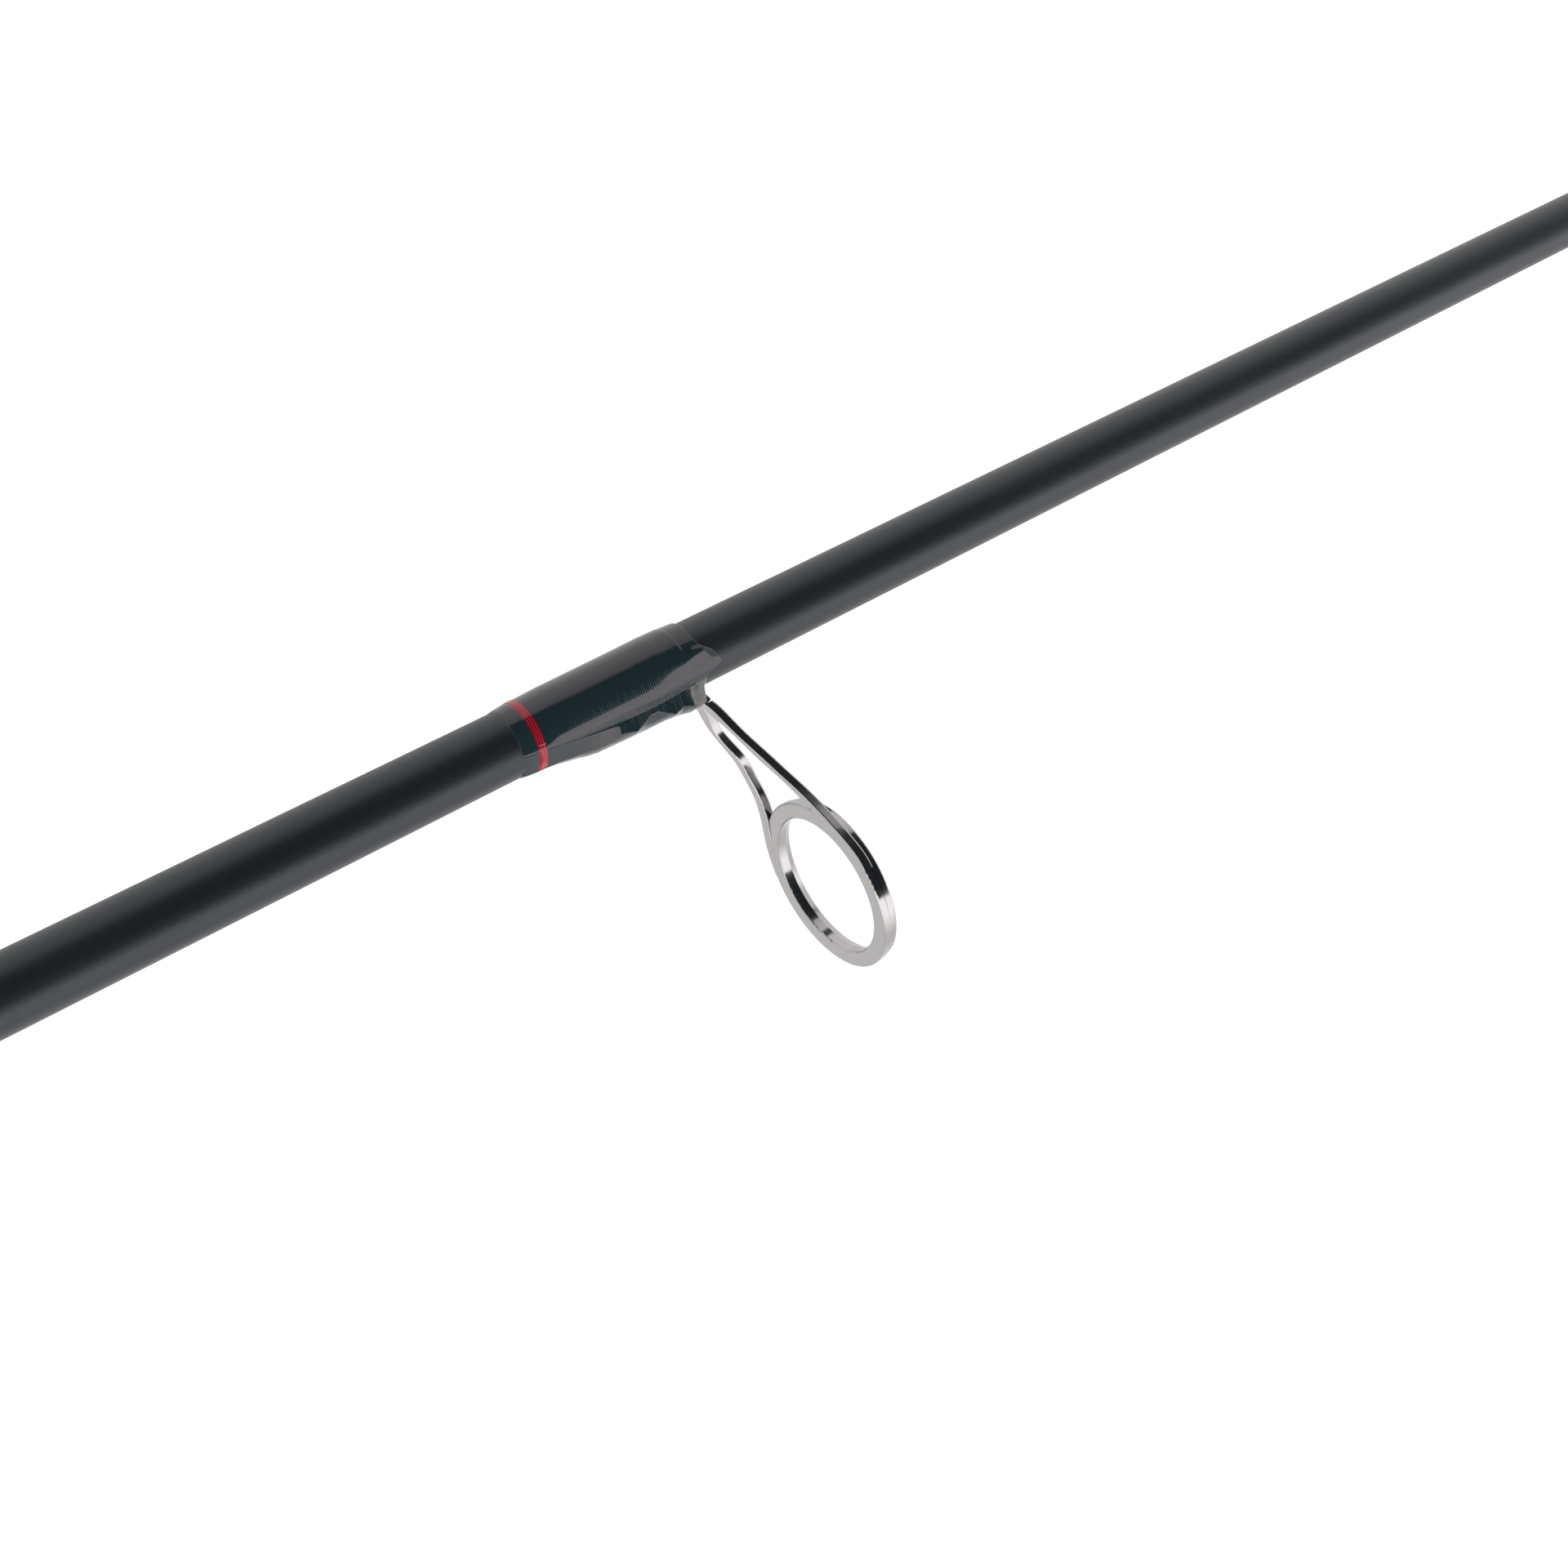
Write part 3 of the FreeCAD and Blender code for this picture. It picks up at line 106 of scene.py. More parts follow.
def mesh_piece(name, points, faces, body, slot, sharp_angle):
    """A smooth-shaded piece on a body; edges that bend by more than sharp_angle degrees stay sharp."""
    mesh = bpy.data.meshes.new(name)
    mesh.from_pydata([Vector(point) * MM for point in points], [], faces)
    mesh.update()
    piece = bpy.data.objects.new(name, mesh)
    bpy.context.scene.collection.objects.link(piece)
    for polygon in mesh.polygons:
        polygon.use_smooth = True
    mesh.set_sharp_from_angle(angle=math.radians(sharp_angle))
    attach(piece, body)
    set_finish(piece, slot)
    return piece


def tube_grid(rings, hollow=False):
    """Faces that join rings of points into one closed skin.

    All rings have the same count. A hollow tube runs from its last ring back to its first.
    """
    count = len(rings[0])
    points = [point for ring in rings for point in ring]
    faces = []
    for row in range(len(rings) if hollow else len(rings) - 1):
        here, following = row * count, (row + 1) % len(rings) * count
        for column in range(count):
            after = (column + 1) % count
            faces.append((here + column, here + after, following + after, following + column))
    if not hollow:
        faces.append(tuple(reversed(range(count))))
        faces.append(tuple(range((len(rings) - 1) * count, len(rings) * count)))
    return points, faces


def circle(x, radius, count):
    """A ring of points round the rod's axis; it starts straight down and turns to +Y."""
    points = []
    for step in range(count):
        turn = 2 * math.pi * step / count
        points.append((x, radius * math.sin(turn), -radius * math.cos(turn)))
    return points


def lathe(name, stations, body, slot, count=128, sharp_angle=30):
    """A piece turned round the rod's axis from a list of (x, radius) stations."""
    points, faces = tube_grid([circle(x, radius, count) for x, radius in stations])
    return mesh_piece(name, points, faces, body, slot, sharp_angle)


# ---- materials ----

class Paint:
    """A node material built a step at a time round one Principled shader.

    Each step that changes the shader returns the paint, so that steps can follow one another.
    """

    # Most values of a noise lie between these two.
    LOW, HIGH = 0.3, 0.7

    def __init__(self, name, color, roughness, metallic=0.0):
        self.material = bpy.data.materials.new(name)
        self.material.use_nodes = True
        self.nodes = self.material.node_tree.nodes
        self.links = self.material.node_tree.links
        self.shader = self.nodes["Principled BSDF"]
        self.shader.inputs["Base Color"].default_value = (*color, 1)
        self.shader.inputs["Roughness"].default_value = roughness
        self.shader.inputs["Metallic"].default_value = metallic
        self.place = self.nodes.new("ShaderNodeTexCoord").outputs["Object"]
        self.bump_end = None

    def coat(self, weight, roughness):
        """A clear coat over the colour."""
        self.shader.inputs["Coat Weight"].default_value = weight
        self.shader.inputs["Coat Roughness"].default_value = roughness
        return self

    def noise(self, size_mm, detail=3.0, stretch=(1, 1, 1)):
        """A grey noise whose grains are about size_mm across."""
        mapping = self.nodes.new("ShaderNodeMapping")
        mapping.inputs["Scale"].default_value = stretch
        self.links.new(self.place, mapping.inputs["Vector"])
        noise = self.nodes.new("ShaderNodeTexNoise")
        noise.inputs["Scale"].default_value = 1 / (size_mm * MM)
        noise.inputs["Detail"].default_value = detail
        self.links.new(mapping.outputs["Vector"], noise.inputs["Vector"])
        return noise.outputs["Fac"]

    def bands(self, pitch_mm):
        """A wave along X with one crest to each pitch_mm."""
        wave = self.nodes.new("ShaderNodeTexWave")
        wave.wave_type = "BANDS"
        wave.bands_direction = "X"
        wave.inputs["Scale"].default_value = 2 * math.pi / (20 * pitch_mm * MM)
        wave.inputs["Distortion"].default_value = 0.0
        self.links.new(self.place, wave.inputs["Vector"])
        return wave.outputs["Fac"]

    def colors(self, factor, dark, light, low=LOW, high=HIGH):
        """The dark colour where the factor is low, and the light one where it is high."""
        ramp = self.nodes.new("ShaderNodeValToRGB")
        ramp.color_ramp.elements[0].position = low
        ramp.color_ramp.elements[0].color = (*dark, 1)
        ramp.color_ramp.elements[1].position = high
        ramp.color_ramp.elements[1].color = (*light, 1)
        self.links.new(factor, ramp.inputs["Fac"])
        self.links.new(ramp.outputs["Color"], self.shader.inputs["Base Color"])
        return self

    def rough(self, factor, low, high):
        """Roughness from low to high as the factor rises."""
        spread = self.nodes.new("ShaderNodeMapRange")
        spread.inputs["From Min"].default_value = self.LOW
        spread.inputs["From Max"].default_value = self.HIGH
        spread.inputs["To Min"].default_value = low
        spread.inputs["To Max"].default_value = high
        self.links.new(factor, spread.inputs["Value"])
        self.links.new(spread.outputs["Result"], self.shader.inputs["Roughness"])
        return self

    def bump(self, factor, depth_mm):
        """Relief of depth_mm, over any relief that is there already."""
        bump = self.nodes.new("ShaderNodeBump")
        bump.inputs["Strength"].default_value = 1.0
        bump.inputs["Distance"].default_value = depth_mm * MM
        self.links.new(factor, bump.inputs["Height"])
        if self.bump_end:
            self.links.new(self.bump_end, bump.inputs["Normal"])
        self.bump_end = bump.outputs["Normal"]
        self.links.new(self.bump_end, self.shader.inputs["Normal"])
        return self


def brightened(color, factor, lift):
    """A lighter shade, for the light parts of a noise."""
    return tuple(part * factor + lift for part in color)


def blank_paint():
    """Dark satin lacquer with faint streaks along the rod."""
    paint = Paint("blank_lacquer", (0.010, 0.014, 0.019), 0.4)
    fine = paint.noise(0.35)
    paint.colors(paint.noise(4.0, stretch=(0.2, 1, 1)), (0.009, 0.013, 0.018), (0.012, 0.016, 0.021))
    paint.rough(fine, 0.37, 0.43)
    return paint.bump(fine, 0.002).material


def thread_paint(name, dark, light):
    """Glossy varnish over thread, with painted shade and a painted highlight: each turn is lightest
    along its middle and darker towards the grooves between turns.
    """
    paint = Paint(name, dark, 0.025)
    paint.shader.inputs["IOR"].default_value = 1.55
    paint.shader.inputs["Specular Tint"].default_value = (1.0, 0.82, 0.83, 1)
    # Painted shade and highlight: the colour runs from dark between the turns to light along each
    # turn's middle.
    paint.colors(paint.bands(THREAD_PITCH), dark, light, 0.2, 0.9)
    return paint.material


def neck_paint():
    """Clear varnish run down over the guide's steel neck: greyer than bare steel."""
    paint = Paint("varnished_neck", (0.12, 0.12, 0.12), 0.05)
    return paint.bump(paint.noise(0.5), 0.03).material


def steel_paint(name, color, roughness):
    """Polished metal with slight waves."""
    paint = Paint(name, color, roughness, 1.0)
    paint.rough(paint.noise(1.5), roughness * 0.7, roughness * 1.4)
    return paint.bump(paint.noise(0.6), 0.0015).material


def foam_paint():
    """Closed-cell grip foam."""
    paint = Paint("foam_grip", (0.02, 0.02, 0.02), 0.9)
    cells = paint.noise(0.5, 5)
    paint.colors(cells, (0.012, 0.012, 0.012), (0.032, 0.032, 0.032))
    return paint.bump(cells, 0.08).material


def moulded_paint(name, color, roughness, grain=0.4, depth=0.02):
    """Moulded plastic or rubber with a fine grain."""
    paint = Paint(name, color, roughness)
    grains = paint.noise(grain)
    paint.colors(grains, color, brightened(color, 1.5, 0.004))
    paint.rough(grains, roughness * 0.85, min(1.0, roughness * 1.15))
    return paint.bump(grains, depth).material


def enamel_paint(name, color, roughness):
    """Enamel with fine flakes under a clear coat."""
    paint = Paint(name, color, roughness).coat(0.6, 0.12)
    paint.colors(paint.noise(0.15), color, brightened(color, 1.8, 0.01), 0.35, 0.75)
    return paint.bump(paint.noise(1.0), 0.004).material


def machined_paint(name, color, roughness):
    """Bare metal with fine tool lines."""
    paint = Paint(name, color, roughness, 1.0)
    lines = paint.noise(0.3, 2, stretch=(8, 1, 1))
    paint.rough(lines, roughness * 0.7, roughness * 1.3)
    return paint.bump(lines, 0.004).material


def line_paint():
    """Clear nylon line, wound turn beside turn, with painted shade between the turns and a painted
    highlight along each turn's middle.
    """
    paint = Paint("wound_line", (0.5, 0.55, 0.48), 0.3).coat(0.5, 0.1)
    turns = paint.bands(LINE_PITCH)
    # Painted shade and highlight: each turn is dark at its edges and light along its middle.
    paint.colors(turns, (0.25, 0.29, 0.24), (0.62, 0.66, 0.58), 0.1, 0.9)
    return paint.bump(turns, 0.1).material


PAINTS = {
    "blank": blank_paint(),
    "spigot": moulded_paint("ground_fibre", (0.02, 0.02, 0.02), 0.5, 0.3, 0.005),
    "grip_foam": foam_paint(),
    "cap_rubber": moulded_paint("cap_rubber", (0.012, 0.012, 0.012), 0.75),
    "seat": moulded_paint("moulded_seat", (0.014, 0.014, 0.016), 0.4, 0.6, 0.01),
    "hood_metal": machined_paint("anodised_hood", (0.16, 0.16, 0.17), 0.3),
    "wrap": thread_paint("black_thread", (0.014, 0.030, 0.034), (0.022, 0.043, 0.048)),
    "trim": thread_paint("red_thread", (0.22, 0.006, 0.016), (0.55, 0.02, 0.05)),
    "guide_steel": steel_paint("polished_steel", (0.40, 0.382, 0.382), 0.13),
    "reel_paint": enamel_paint("reel_enamel", (0.014, 0.014, 0.017), 0.35),
    "reel_trim": enamel_paint("red_enamel", (0.35, 0.012, 0.02), 0.3),
    "reel_plastic": moulded_paint("reel_plastic", (0.02, 0.02, 0.02), 0.5),
    "screw_steel": machined_paint("zinc_steel", (0.6, 0.6, 0.6), 0.25),
    "bearing_steel": machined_paint("ground_steel", (0.65, 0.65, 0.66), 0.2),
    "gear_brass": machined_paint("machined_brass", (0.7, 0.5, 0.2), 0.25),
    "gear_alloy": machined_paint("cast_alloy", (0.5, 0.5, 0.52), 0.4),
    "handle_metal": enamel_paint("crank_enamel", (0.016, 0.016, 0.018), 0.3),
    "knob_rubber": moulded_paint("knob_rubber", (0.015, 0.015, 0.015), 0.7),
    "bail_steel": steel_paint("bail_steel", (0.7, 0.7, 0.7), 0.1),
    "spool_metal": machined_paint("anodised_spool", (0.07, 0.07, 0.08), 0.18),
    "line": line_paint(),
    "felt": moulded_paint("felt", (0.1, 0.1, 0.1), 0.9),
}
OWN_PAINTS = {"second_neck_varnish": neck_paint()}


def dress(piece):
    """Gives a piece its own material, or that of its slot."""
    slot = piece.get("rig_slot") or SLOT_OF[piece["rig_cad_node"]]
    piece.data.materials.clear()
    piece.data.materials.append(OWN_PAINTS.get(piece.name) or PAINTS[slot])


# ---- blanks ----

# Spacing of the stations along the outside, and how far the bore runs on past the spigot.
STATION_STEP, BORE_PLAY = 25, 2


def butt_blank():
    butt = lathe("butt_blank_smooth", [
        (butt_low.x, blank_radius(butt_low.x)),
        (butt_high.x - EDGE, blank_radius(butt_high.x)),
        (butt_high.x, blank_radius(butt_high.x) - EDGE),
    ], "rod", "blank")
    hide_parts("butt_blank")
    return butt


def tip_blank():
    """The tip section, from the blind end of its bore out to its rear end and along to the tip."""
    bore_radius = spigot_high.z + SLIDING_GAP
    stations = [(spigot_high.x + BORE_PLAY, bore_radius), (tip_low.x, bore_radius),
                (tip_low.x, blank_radius(tip_low.x) - EDGE)]
    place = tip_low.x + EDGE
    while place < tip_high.x:
        stations.append((place, blank_radius(place)))
        place += STATION_STEP
    stations.append((tip_high.x, blank_radius(tip_high.x)))
    tip = lathe("tip_blank_smooth", stations, "tip_section", "blank")
    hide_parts("tip_blank")
    return tip


# ---- the wrap of the second guide ----

# All places here are measured in millimetres along the rod from the guide's root, and all turns in
# degrees round the rod from straight down.
THREAD_END = -1.0
TRIM_REAR, TRIM_FRONT = -16.14, -15.44
# Coat of thread and varnish over the blank: place, thickness.
COAT = [(-17.55, 0.0), (-17.5, 0.04), (-17.3, 0.1), (-16.4, 0.18), (-15.0, 0.22), (-13.0, 0.29),
        (-9.0, 0.31), (-5.5, 0.33), (-3.0, 0.37), (-1.0, 0.34)]
# The film's drop in front of the last thread, and the length of that drop.
FILM_DROP, DROP_LENGTH = 0.03, 0.3
# The film's thickness near its front edge, below the first of two turns and above the second, and
# the part of its length from which it rounds off to nothing.
LOW_EDGE, HIGH_EDGE, EDGE_TURNS, ROUNDING_START = 0.05, 0.2, (88, 100), 0.93
# The foot under the thread: place, depth of its underside below the coat, half width of the
# underside, and how far the underside's corners stand above its middle.
FOOT = [(-15.6, 0.0, 1.2, 0.1), (-14.1, 0.14, 1.3, 0.2), (-13.2, 0.27, 1.35, 0.25),
        (-12.2, 0.43, 1.4, 0.35), (-11.3, 0.62, 1.5, 0.45), (-10.4, 0.75, 1.6, 0.5),
        (-9.0, 0.79, 1.7, 0.5), (-8.2, 0.81, 2.04, 0.7), (-7.0, 0.83, 2.05, 0.4),
        (-6.1, 0.86, 2.05, 0.8), (-5.3, 0.87, 2.1, 1.2), (-4.6, 0.88, 2.1, 1.2),
        (-3.9, 0.9, 2.0, 0.7), (-3.1, 0.98, 1.97, 0.3), (-2.2, 1.16, 1.93, 0.7),
        (-1.2, 1.4, 1.88, 0.5), (-0.8, 1.45, 1.5, 0.4), (0.8, 1.45, 1.1, 0.3)]
# The crease beside the foot: place, turn. Then the depth and half width of its groove, and the
# places between which the groove fades out.
CREASE = [(-17.3, 64), (-15.0, 60), (-12.0, 53), (-10.0, 48), (-8.5, 45), (-5.0, 43), (-1.5, 42),
          (-0.5, 38)]
CREASE_DEPTH, CREASE_WIDTH, CREASE_END = 0.08, 2.0, (-9, -7)
# Towards the guide's neck the skin sinks on the flank, all of it below the first of two turns and
# none of it above the second. The film has a lip above that hollow.
HOLLOW_START, HOLLOW_DEPTH, HOLLOW_TURNS = -5.5, 0.2, (72, 93)
LIP_HEIGHT, LIP_TURN, LIP_WIDTH = 0.15, 94, 9
# Behind the foot's tail the skin bulges from the crease up to a turn. The bulge dies away between
# two places.
BULGE_TOP, BULGE_HEIGHT, BULGE_END = 80, 0.09, (-15.4, -13.6)
# Front edge of the varnish film: turn, place.
FILM_END = [(0, 0.9), (43, 0.9), (48, 1.1), (53, 1.6), (58, 2.25), (61, 2.55), (70, 2.3),
            (82, 2.05), (92, 1.75), (103, 1.05), (112, 0.78), (180, 0.82)]
# Below this turn the film runs down over the guide's steel neck.
NECK_TURN = 40
# Where the varnish falls from the guide's neck to the film: turn, place. The fall starts a little
# behind that place and ends a little in front of it.
NECK_END = [(0, 0.55), (25, 0.55), (40, 0.6), (52, 0.65), (62, 0.8), (70, 1.3), (80, 3.0)]
FALL_BEHIND, FALL_AHEAD = 0.25, 0.3
# The threads' ridges: their height on top, what is added below and in front, the turns and the
# places between which that starts, and the length over which the last ridge fades.
RIDGE, RIDGE_BELOW, RIDGE_TURNS, RIDGE_PLACES, RIDGE_FADE = 0.0025, 0.0055, (85, 105), (-15, -9), 0.15
# Points round the wrap: turns from, to, and the step between them. One of the turns has to be
# NECK_TURN, where the neck's varnish meets the film.
TURN_STEPS = ((0, 12, 2.4), (12, NECK_TURN, 0.8), (NECK_TURN, 70, 0.8), (70, 125, 1.6),
              (125, 180, 3))
# Rings to a thread, steps along the film, depth of the ends in the blank, angle of sharp edges.
RINGS_PER_THREAD, FILM_STEPS, SUNK, WRAP_SHARP = 6, 48, 0.05, 50


def between(table, value, column=1):
    """A table's value in a column, on straight lines from row to row of its first column."""
    if value <= table[0][0]:
        return table[0][column]
    for low, high in zip(table, table[1:]):
        if value <= high[0]:
            part = (value - low[0]) / (high[0] - low[0])
            return low[column] + (high[column] - low[column]) * part
    return table[-1][column]


def smooth_step(value, low, high):
    """0 below low and 1 above high, with a smooth rise from one to the other."""
    part = min(1.0, max(0.0, (value - low) / (high - low)))
    return part * part * (3 - 2 * part)


def wrap_turns():
    """The turns, in degrees, of the points round the wrap: closest on the foot's two flanks."""
    half = []
    for low, high, step in TURN_STEPS:
        count = round((high - low) / step)
        half += [low + (high - low) * number / count for number in range(count)]
    return half + [180] + [-turn for turn in half[:0:-1]]


def foot_skin(x, turn, coat):
    """Radius of the skin over the foot's cross-section; turn is 0 to 180 degrees."""
    crease = between(CREASE, x)
    if turn >= crease:
        bulge = BULGE_HEIGHT * (1 - smooth_step(x, *BULGE_END))
        return coat + bulge * (1 - smooth_step(turn, crease, BULGE_TOP))
    depth = coat + between(FOOT, x)
    width, rise = between(FOOT, x, 2), between(FOOT, x, 3)
    corner = math.degrees(math.atan2(width, depth - rise))
    corner_radius = math.hypot(width, depth - rise)
    if turn < corner:
        return depth + (corner_radius - depth) * (turn / corner) ** 2
    # A straight side runs from the underside's corner up to the crease.
    low, high, here = math.radians(corner), math.radians(crease), math.radians(turn)
    return (corner_radius * coat * math.sin(high - low)
            / (corner_radius * math.sin(here - low) + coat * math.sin(high - here)))


def coat_thickness(x, turn):
    """Thread and varnish; in front of the thread only varnish, which thins to its front edge."""
    part = max(0.0, (x - THREAD_END) / (between(FILM_END, turn) - THREAD_END))
    thickness = between(COAT, x)
    if x > THREAD_END:
        start = thickness - FILM_DROP * smooth_step(x, THREAD_END, THREAD_END + DROP_LENGTH)
        end = LOW_EDGE + (HIGH_EDGE - LOW_EDGE) * smooth_step(turn, *EDGE_TURNS)
        rounding = math.sqrt(max(0.0, 1 - smooth_step(part, ROUNDING_START, 1.0)))
        thickness = (end + (start - end) * (1 - min(1.0, part))) * rounding
        lip = (turn - LIP_TURN) / LIP_WIDTH
        thickness += LIP_HEIGHT * math.exp(-lip * lip) * part * (1 - part) * 4
    hollow = HOLLOW_DEPTH * smooth_step(x, HOLLOW_START, THREAD_END) * (1 - min(1.0, part))
    return thickness - hollow * (1 - smooth_step(turn, *HOLLOW_TURNS))


def thread_ridge(x, turn):
    """Height of the threads' ridges, which differ a little from thread to thread."""
    below = (1 - smooth_step(turn, *RIDGE_TURNS)) * smooth_step(x, *RIDGE_PLACES)
    uneven = 1 + 0.35 * math.sin(7.6 * x) + 0.25 * math.sin(17.0 * x + 0.07 * turn)
    fading = 1 - smooth_step(x, THREAD_END - RIDGE_FADE, THREAD_END)
    height = (RIDGE + RIDGE_BELOW * below) * uneven * fading
    return height * math.cos(2 * math.pi * x / THREAD_PITCH)


def wrap_radius(x, turn):
    """Radius of the wrap's outer skin at a place and a turn."""
    turn = abs(turn)
    coat = blank_radius(root_x + x) + coat_thickness(x, turn)
    skin = foot_skin(x, turn, coat)
    neck_end = between(NECK_END, turn)
    skin += (coat - skin) * smooth_step(x, neck_end - FALL_BEHIND, neck_end + FALL_AHEAD)
    crease = (turn - between(CREASE, x)) / CREASE_WIDTH
    groove = CREASE_DEPTH * math.exp(-crease * crease) * (1 - smooth_step(x, *CREASE_END))
    return skin - groove + thread_ridge(x, turn)


def wrap_rings(low, high):
    """Rings of the wrap's threads from one place to another."""
    steps = round((high - low) / THREAD_PITCH * RINGS_PER_THREAD)
    rings = []
    for step in range(steps + 1):
        x = low + (high - low) * step / steps
        rings.append([skin_point(x, turn, wrap_radius(x, turn)) for turn in wrap_turns()])
    return rings


def film_rings(turns):
    """Rings of the bare varnish in front of the thread, over a part of the way round the rod."""
    rings = []
    for step in range(FILM_STEPS + 1):
        outer = []
        for turn in turns:
            x = THREAD_END + (between(FILM_END, abs(turn)) - THREAD_END) * step / FILM_STEPS
            outer.append(skin_point(x, turn, wrap_radius(x, turn)))
        rings.append(outer + inner_ring(outer)[::-1])
    return rings


def skin_point(x, turn, radius):
    """The point at a place, a turn in degrees and a radius."""
    turn = math.radians(turn)
    return (root_x + x, radius * math.sin(turn), -radius * math.cos(turn))


def inner_ring(ring):
    """The same ring sunk just under the surface of the blank."""
    sunk = []
    for x, y, z in ring:
        scale = (blank_radius(x) - SUNK) / math.hypot(y, z)
        sunk.append((x, y * scale, z * scale))
    return sunk


def joined(grids):
    """One mesh from several (points, faces)."""
    points, faces = [], []
    for new_points, new_faces in grids:
        faces += [tuple(index + len(points) for index in face) for face in new_faces]
        points += new_points
    return points, faces


def band(low, high):
    """A closed band of thread from one place to another."""
    rings = wrap_rings(low, high)
    return tube_grid([inner_ring(rings[0])] + rings + [inner_ring(rings[-1])], hollow=True)


def second_guide_wrap():
    """Black thread with its film, the red trim band, and the varnish on the guide's neck."""
    film = tube_grid(film_rings([turn for turn in wrap_turns() if abs(turn) >= NECK_TURN]))
    neck = tube_grid(film_rings(sorted(turn for turn in wrap_turns() if abs(turn) <= NECK_TURN)))
    black = joined([band(COAT[0][0], TRIM_REAR), band(TRIM_FRONT, THREAD_END), film])
    red = band(TRIM_REAR, TRIM_FRONT)
    pieces = [mesh_piece("second_wrap_thread", *black, "tip_section", "wrap", WRAP_SHARP),
              mesh_piece("second_wrap_trim", *red, "tip_section", "trim", WRAP_SHARP),
              mesh_piece("second_neck_varnish", *neck, "tip_section", "wrap", WRAP_SHARP)]
    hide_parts("second_guide_wrap")
    return pieces


# ---- camera, light and floor ----

# Angles in degrees, places and lengths in millimetres.
VIEW_AZIMUTH, VIEW_ELEVATION, VIEW_ROLL = -26.94, 9.22, -23.37
VIEW_DISTANCE, VIEW_LENS, SENSOR = 227.26, 60.695, 36
VIEW_TARGET = Vector((root_x + 4.511, 0, -13.65))


def camera_back():
    """The direction from the target to the camera."""
    azimuth, elevation = math.radians(VIEW_AZIMUTH), math.radians(VIEW_ELEVATION)
    return Vector((math.sin(azimuth) * math.cos(elevation),
                   -math.cos(azimuth) * math.cos(elevation), math.sin(elevation)))


def camera():
    """The scene's camera, turned round its target by azimuth and elevation and then rolled."""
    back = camera_back()
    side = Vector((0, 0, 1)).cross(back).normalized()
    top = back.cross(side)
    roll = math.radians(VIEW_ROLL)
    right = side * math.cos(roll) + top * math.sin(roll)
    up = top * math.cos(roll) - side * math.sin(roll)
    data = bpy.data.cameras.new("camera")
    data.sensor_width = SENSOR
    data.lens = VIEW_LENS
    data.clip_start = 0.005
    data.clip_end = 20
    item = bpy.data.objects.new("camera", data)
    item.matrix_world = Matrix.Translation((VIEW_TARGET + back * VIEW_DISTANCE) * MM) @ Matrix(
        (right, up, back)).transposed().to_4x4()
    bpy.context.scene.collection.objects.link(item)
    bpy.context.scene.camera = item


# The dark side of the studio is a round opening: where it faces, and its half angle.
OPENING_FACING = Vector((0, -0.9914, 0.1305))
OPENING_ANGLE = 49
OPENING_COLOR = (0.03, 0.038, 0.042, 1)
# Greys of the far wall, of the walls beside it and of the opening's rim.
FAR_GREY, SIDE_GREY, RIM_GREY = 0.7, 1.15, 0.8


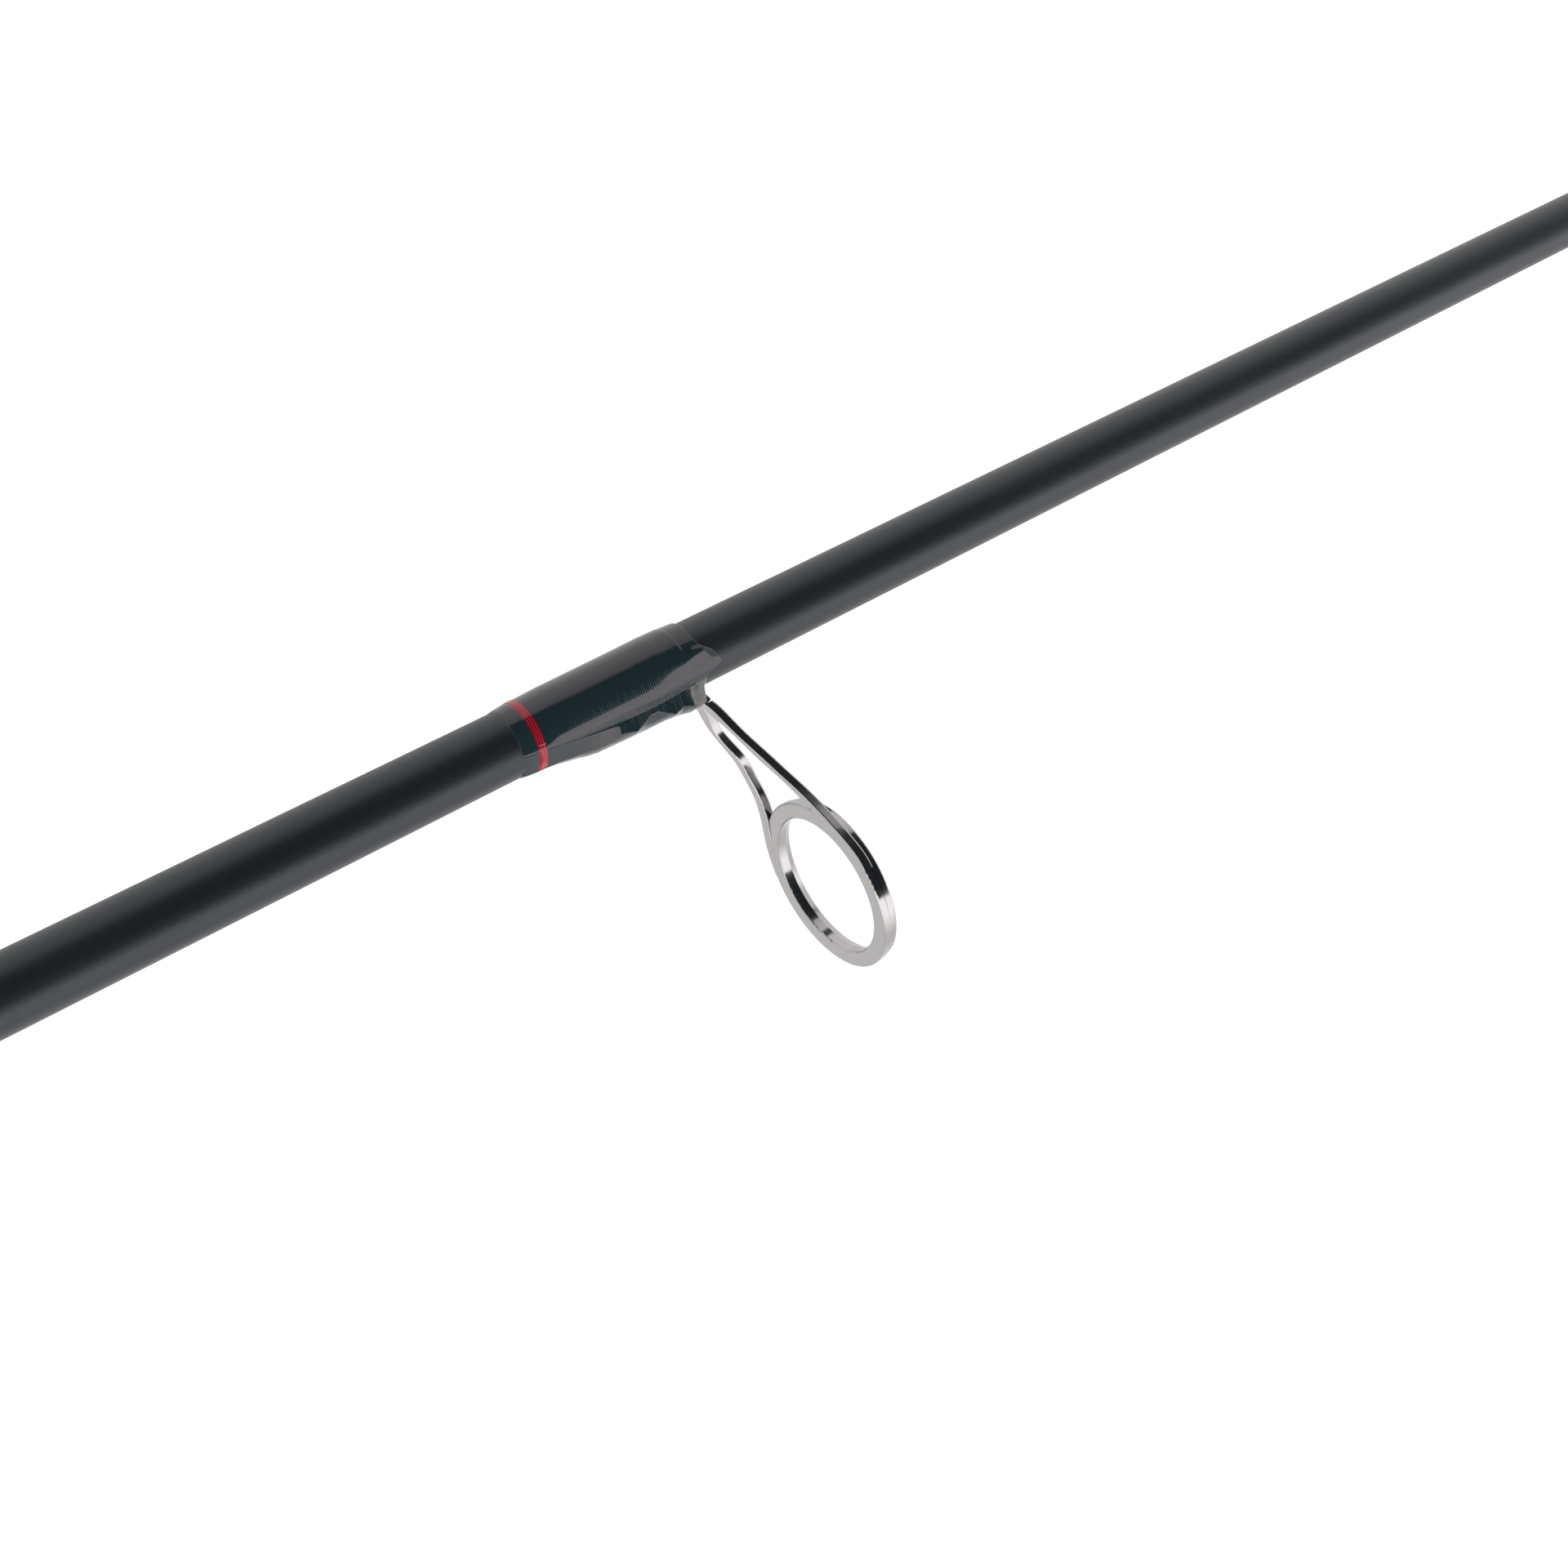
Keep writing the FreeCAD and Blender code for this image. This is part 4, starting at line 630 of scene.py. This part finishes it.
def studio():
    """A white room with a dark opening on the side that the object is seen from.

    Its wall opposite the opening is a little darker than the rest.
    """
    world = bpy.data.worlds.new("studio")
    bpy.context.scene.world = world
    world.use_nodes = True
    nodes, links = world.node_tree.nodes, world.node_tree.links
    background = nodes["Background"]
    place = nodes.new("ShaderNodeTexCoord")
    toward = nodes.new("ShaderNodeVectorMath")
    toward.operation = "DOT_PRODUCT"
    toward.inputs[1].default_value = OPENING_FACING
    links.new(place.outputs["Generated"], toward.inputs[0])
    halved = nodes.new("ShaderNodeMapRange")
    halved.inputs["From Min"].default_value = -1.0
    links.new(toward.outputs["Value"], halved.inputs["Value"])
    ramp = nodes.new("ShaderNodeValToRGB")
    edge = (1 + math.cos(math.radians(OPENING_ANGLE))) / 2
    # On the ramp, 0 is straight away from the opening and 1 is its middle.
    softness, rim = 0.006, 0.175
    stops = ramp.color_ramp.elements
    stops[0].position = 0.0
    stops[0].color = (FAR_GREY, FAR_GREY, FAR_GREY, 1)
    stops[1].position = edge + softness
    stops[1].color = OPENING_COLOR
    for position, grey in ((0.25, SIDE_GREY), (edge - rim, SIDE_GREY), (edge - softness, RIM_GREY)):
        stops.new(position).color = (grey, grey, grey, 1)
    links.new(halved.outputs["Result"], ramp.inputs["Fac"])
    path = nodes.new("ShaderNodeLightPath")
    seen = nodes.new("ShaderNodeMix")
    seen.data_type = "RGBA"
    seen.inputs["B"].default_value = (1, 1, 1, 1)
    links.new(path.outputs["Is Camera Ray"], seen.inputs["Factor"])
    links.new(ramp.outputs["Color"], seen.inputs["A"])
    links.new(seen.outputs["Result"], background.inputs["Color"])
    background.inputs["Strength"].default_value = 1.0
    bpy.context.scene.view_settings.view_transform = "Standard"


# The floor's depth below the model, and its edges along Y and along X.
FLOOR_DROP = 60
FLOOR_NEAR, FLOOR_FAR, FLOOR_LEFT, FLOOR_RIGHT = -250, 2500, -1500, 3500
# The floor's glow in front of the rod and behind it, and where along Y one turns into the other.
FRONT_GLOW, BACK_GLOW = 1.6, 0.5
GLOW_START, GLOW_END = -120, 20


def floor():
    """A pale table top that glows as painted light: its glow is brighter in front of the rod than
    below and behind it.
    """
    level = cad_box[0][2] / MM - FLOOR_DROP
    corners = [(FLOOR_LEFT, FLOOR_NEAR, level), (FLOOR_RIGHT, FLOOR_NEAR, level),
               (FLOOR_RIGHT, FLOOR_FAR, level), (FLOOR_LEFT, FLOOR_FAR, level)]
    mesh = bpy.data.meshes.new("floor")
    mesh.from_pydata([Vector(corner) * MM for corner in corners], [], [(0, 1, 2, 3)])
    item = bpy.data.objects.new("floor", mesh)
    bpy.context.scene.collection.objects.link(item)
    paint = Paint("white_floor", (0.6, 0.6, 0.6), 0.9)
    # Painted light: the floor's own glow, stronger in front of the rod than behind it.
    paint.shader.inputs["Emission Color"].default_value = (1, 1, 1, 1)
    across = paint.nodes.new("ShaderNodeSeparateXYZ")
    paint.links.new(paint.place, across.inputs["Vector"])
    glow = paint.nodes.new("ShaderNodeMapRange")
    glow.interpolation_type = "SMOOTHSTEP"
    glow.inputs["From Min"].default_value = GLOW_START * MM
    glow.inputs["From Max"].default_value = GLOW_END * MM
    glow.inputs["To Min"].default_value = FRONT_GLOW
    glow.inputs["To Max"].default_value = BACK_GLOW
    paint.links.new(across.outputs["Y"], glow.inputs["Value"])
    paint.links.new(glow.outputs["Result"], paint.shader.inputs["Emission Strength"])
    mesh.materials.append(paint.material)


camera()
studio()
floor()
made = [butt_blank(), tip_blank()] + second_guide_wrap()
for piece in made + list(frame["nodes"].values()):
    dress(piece)
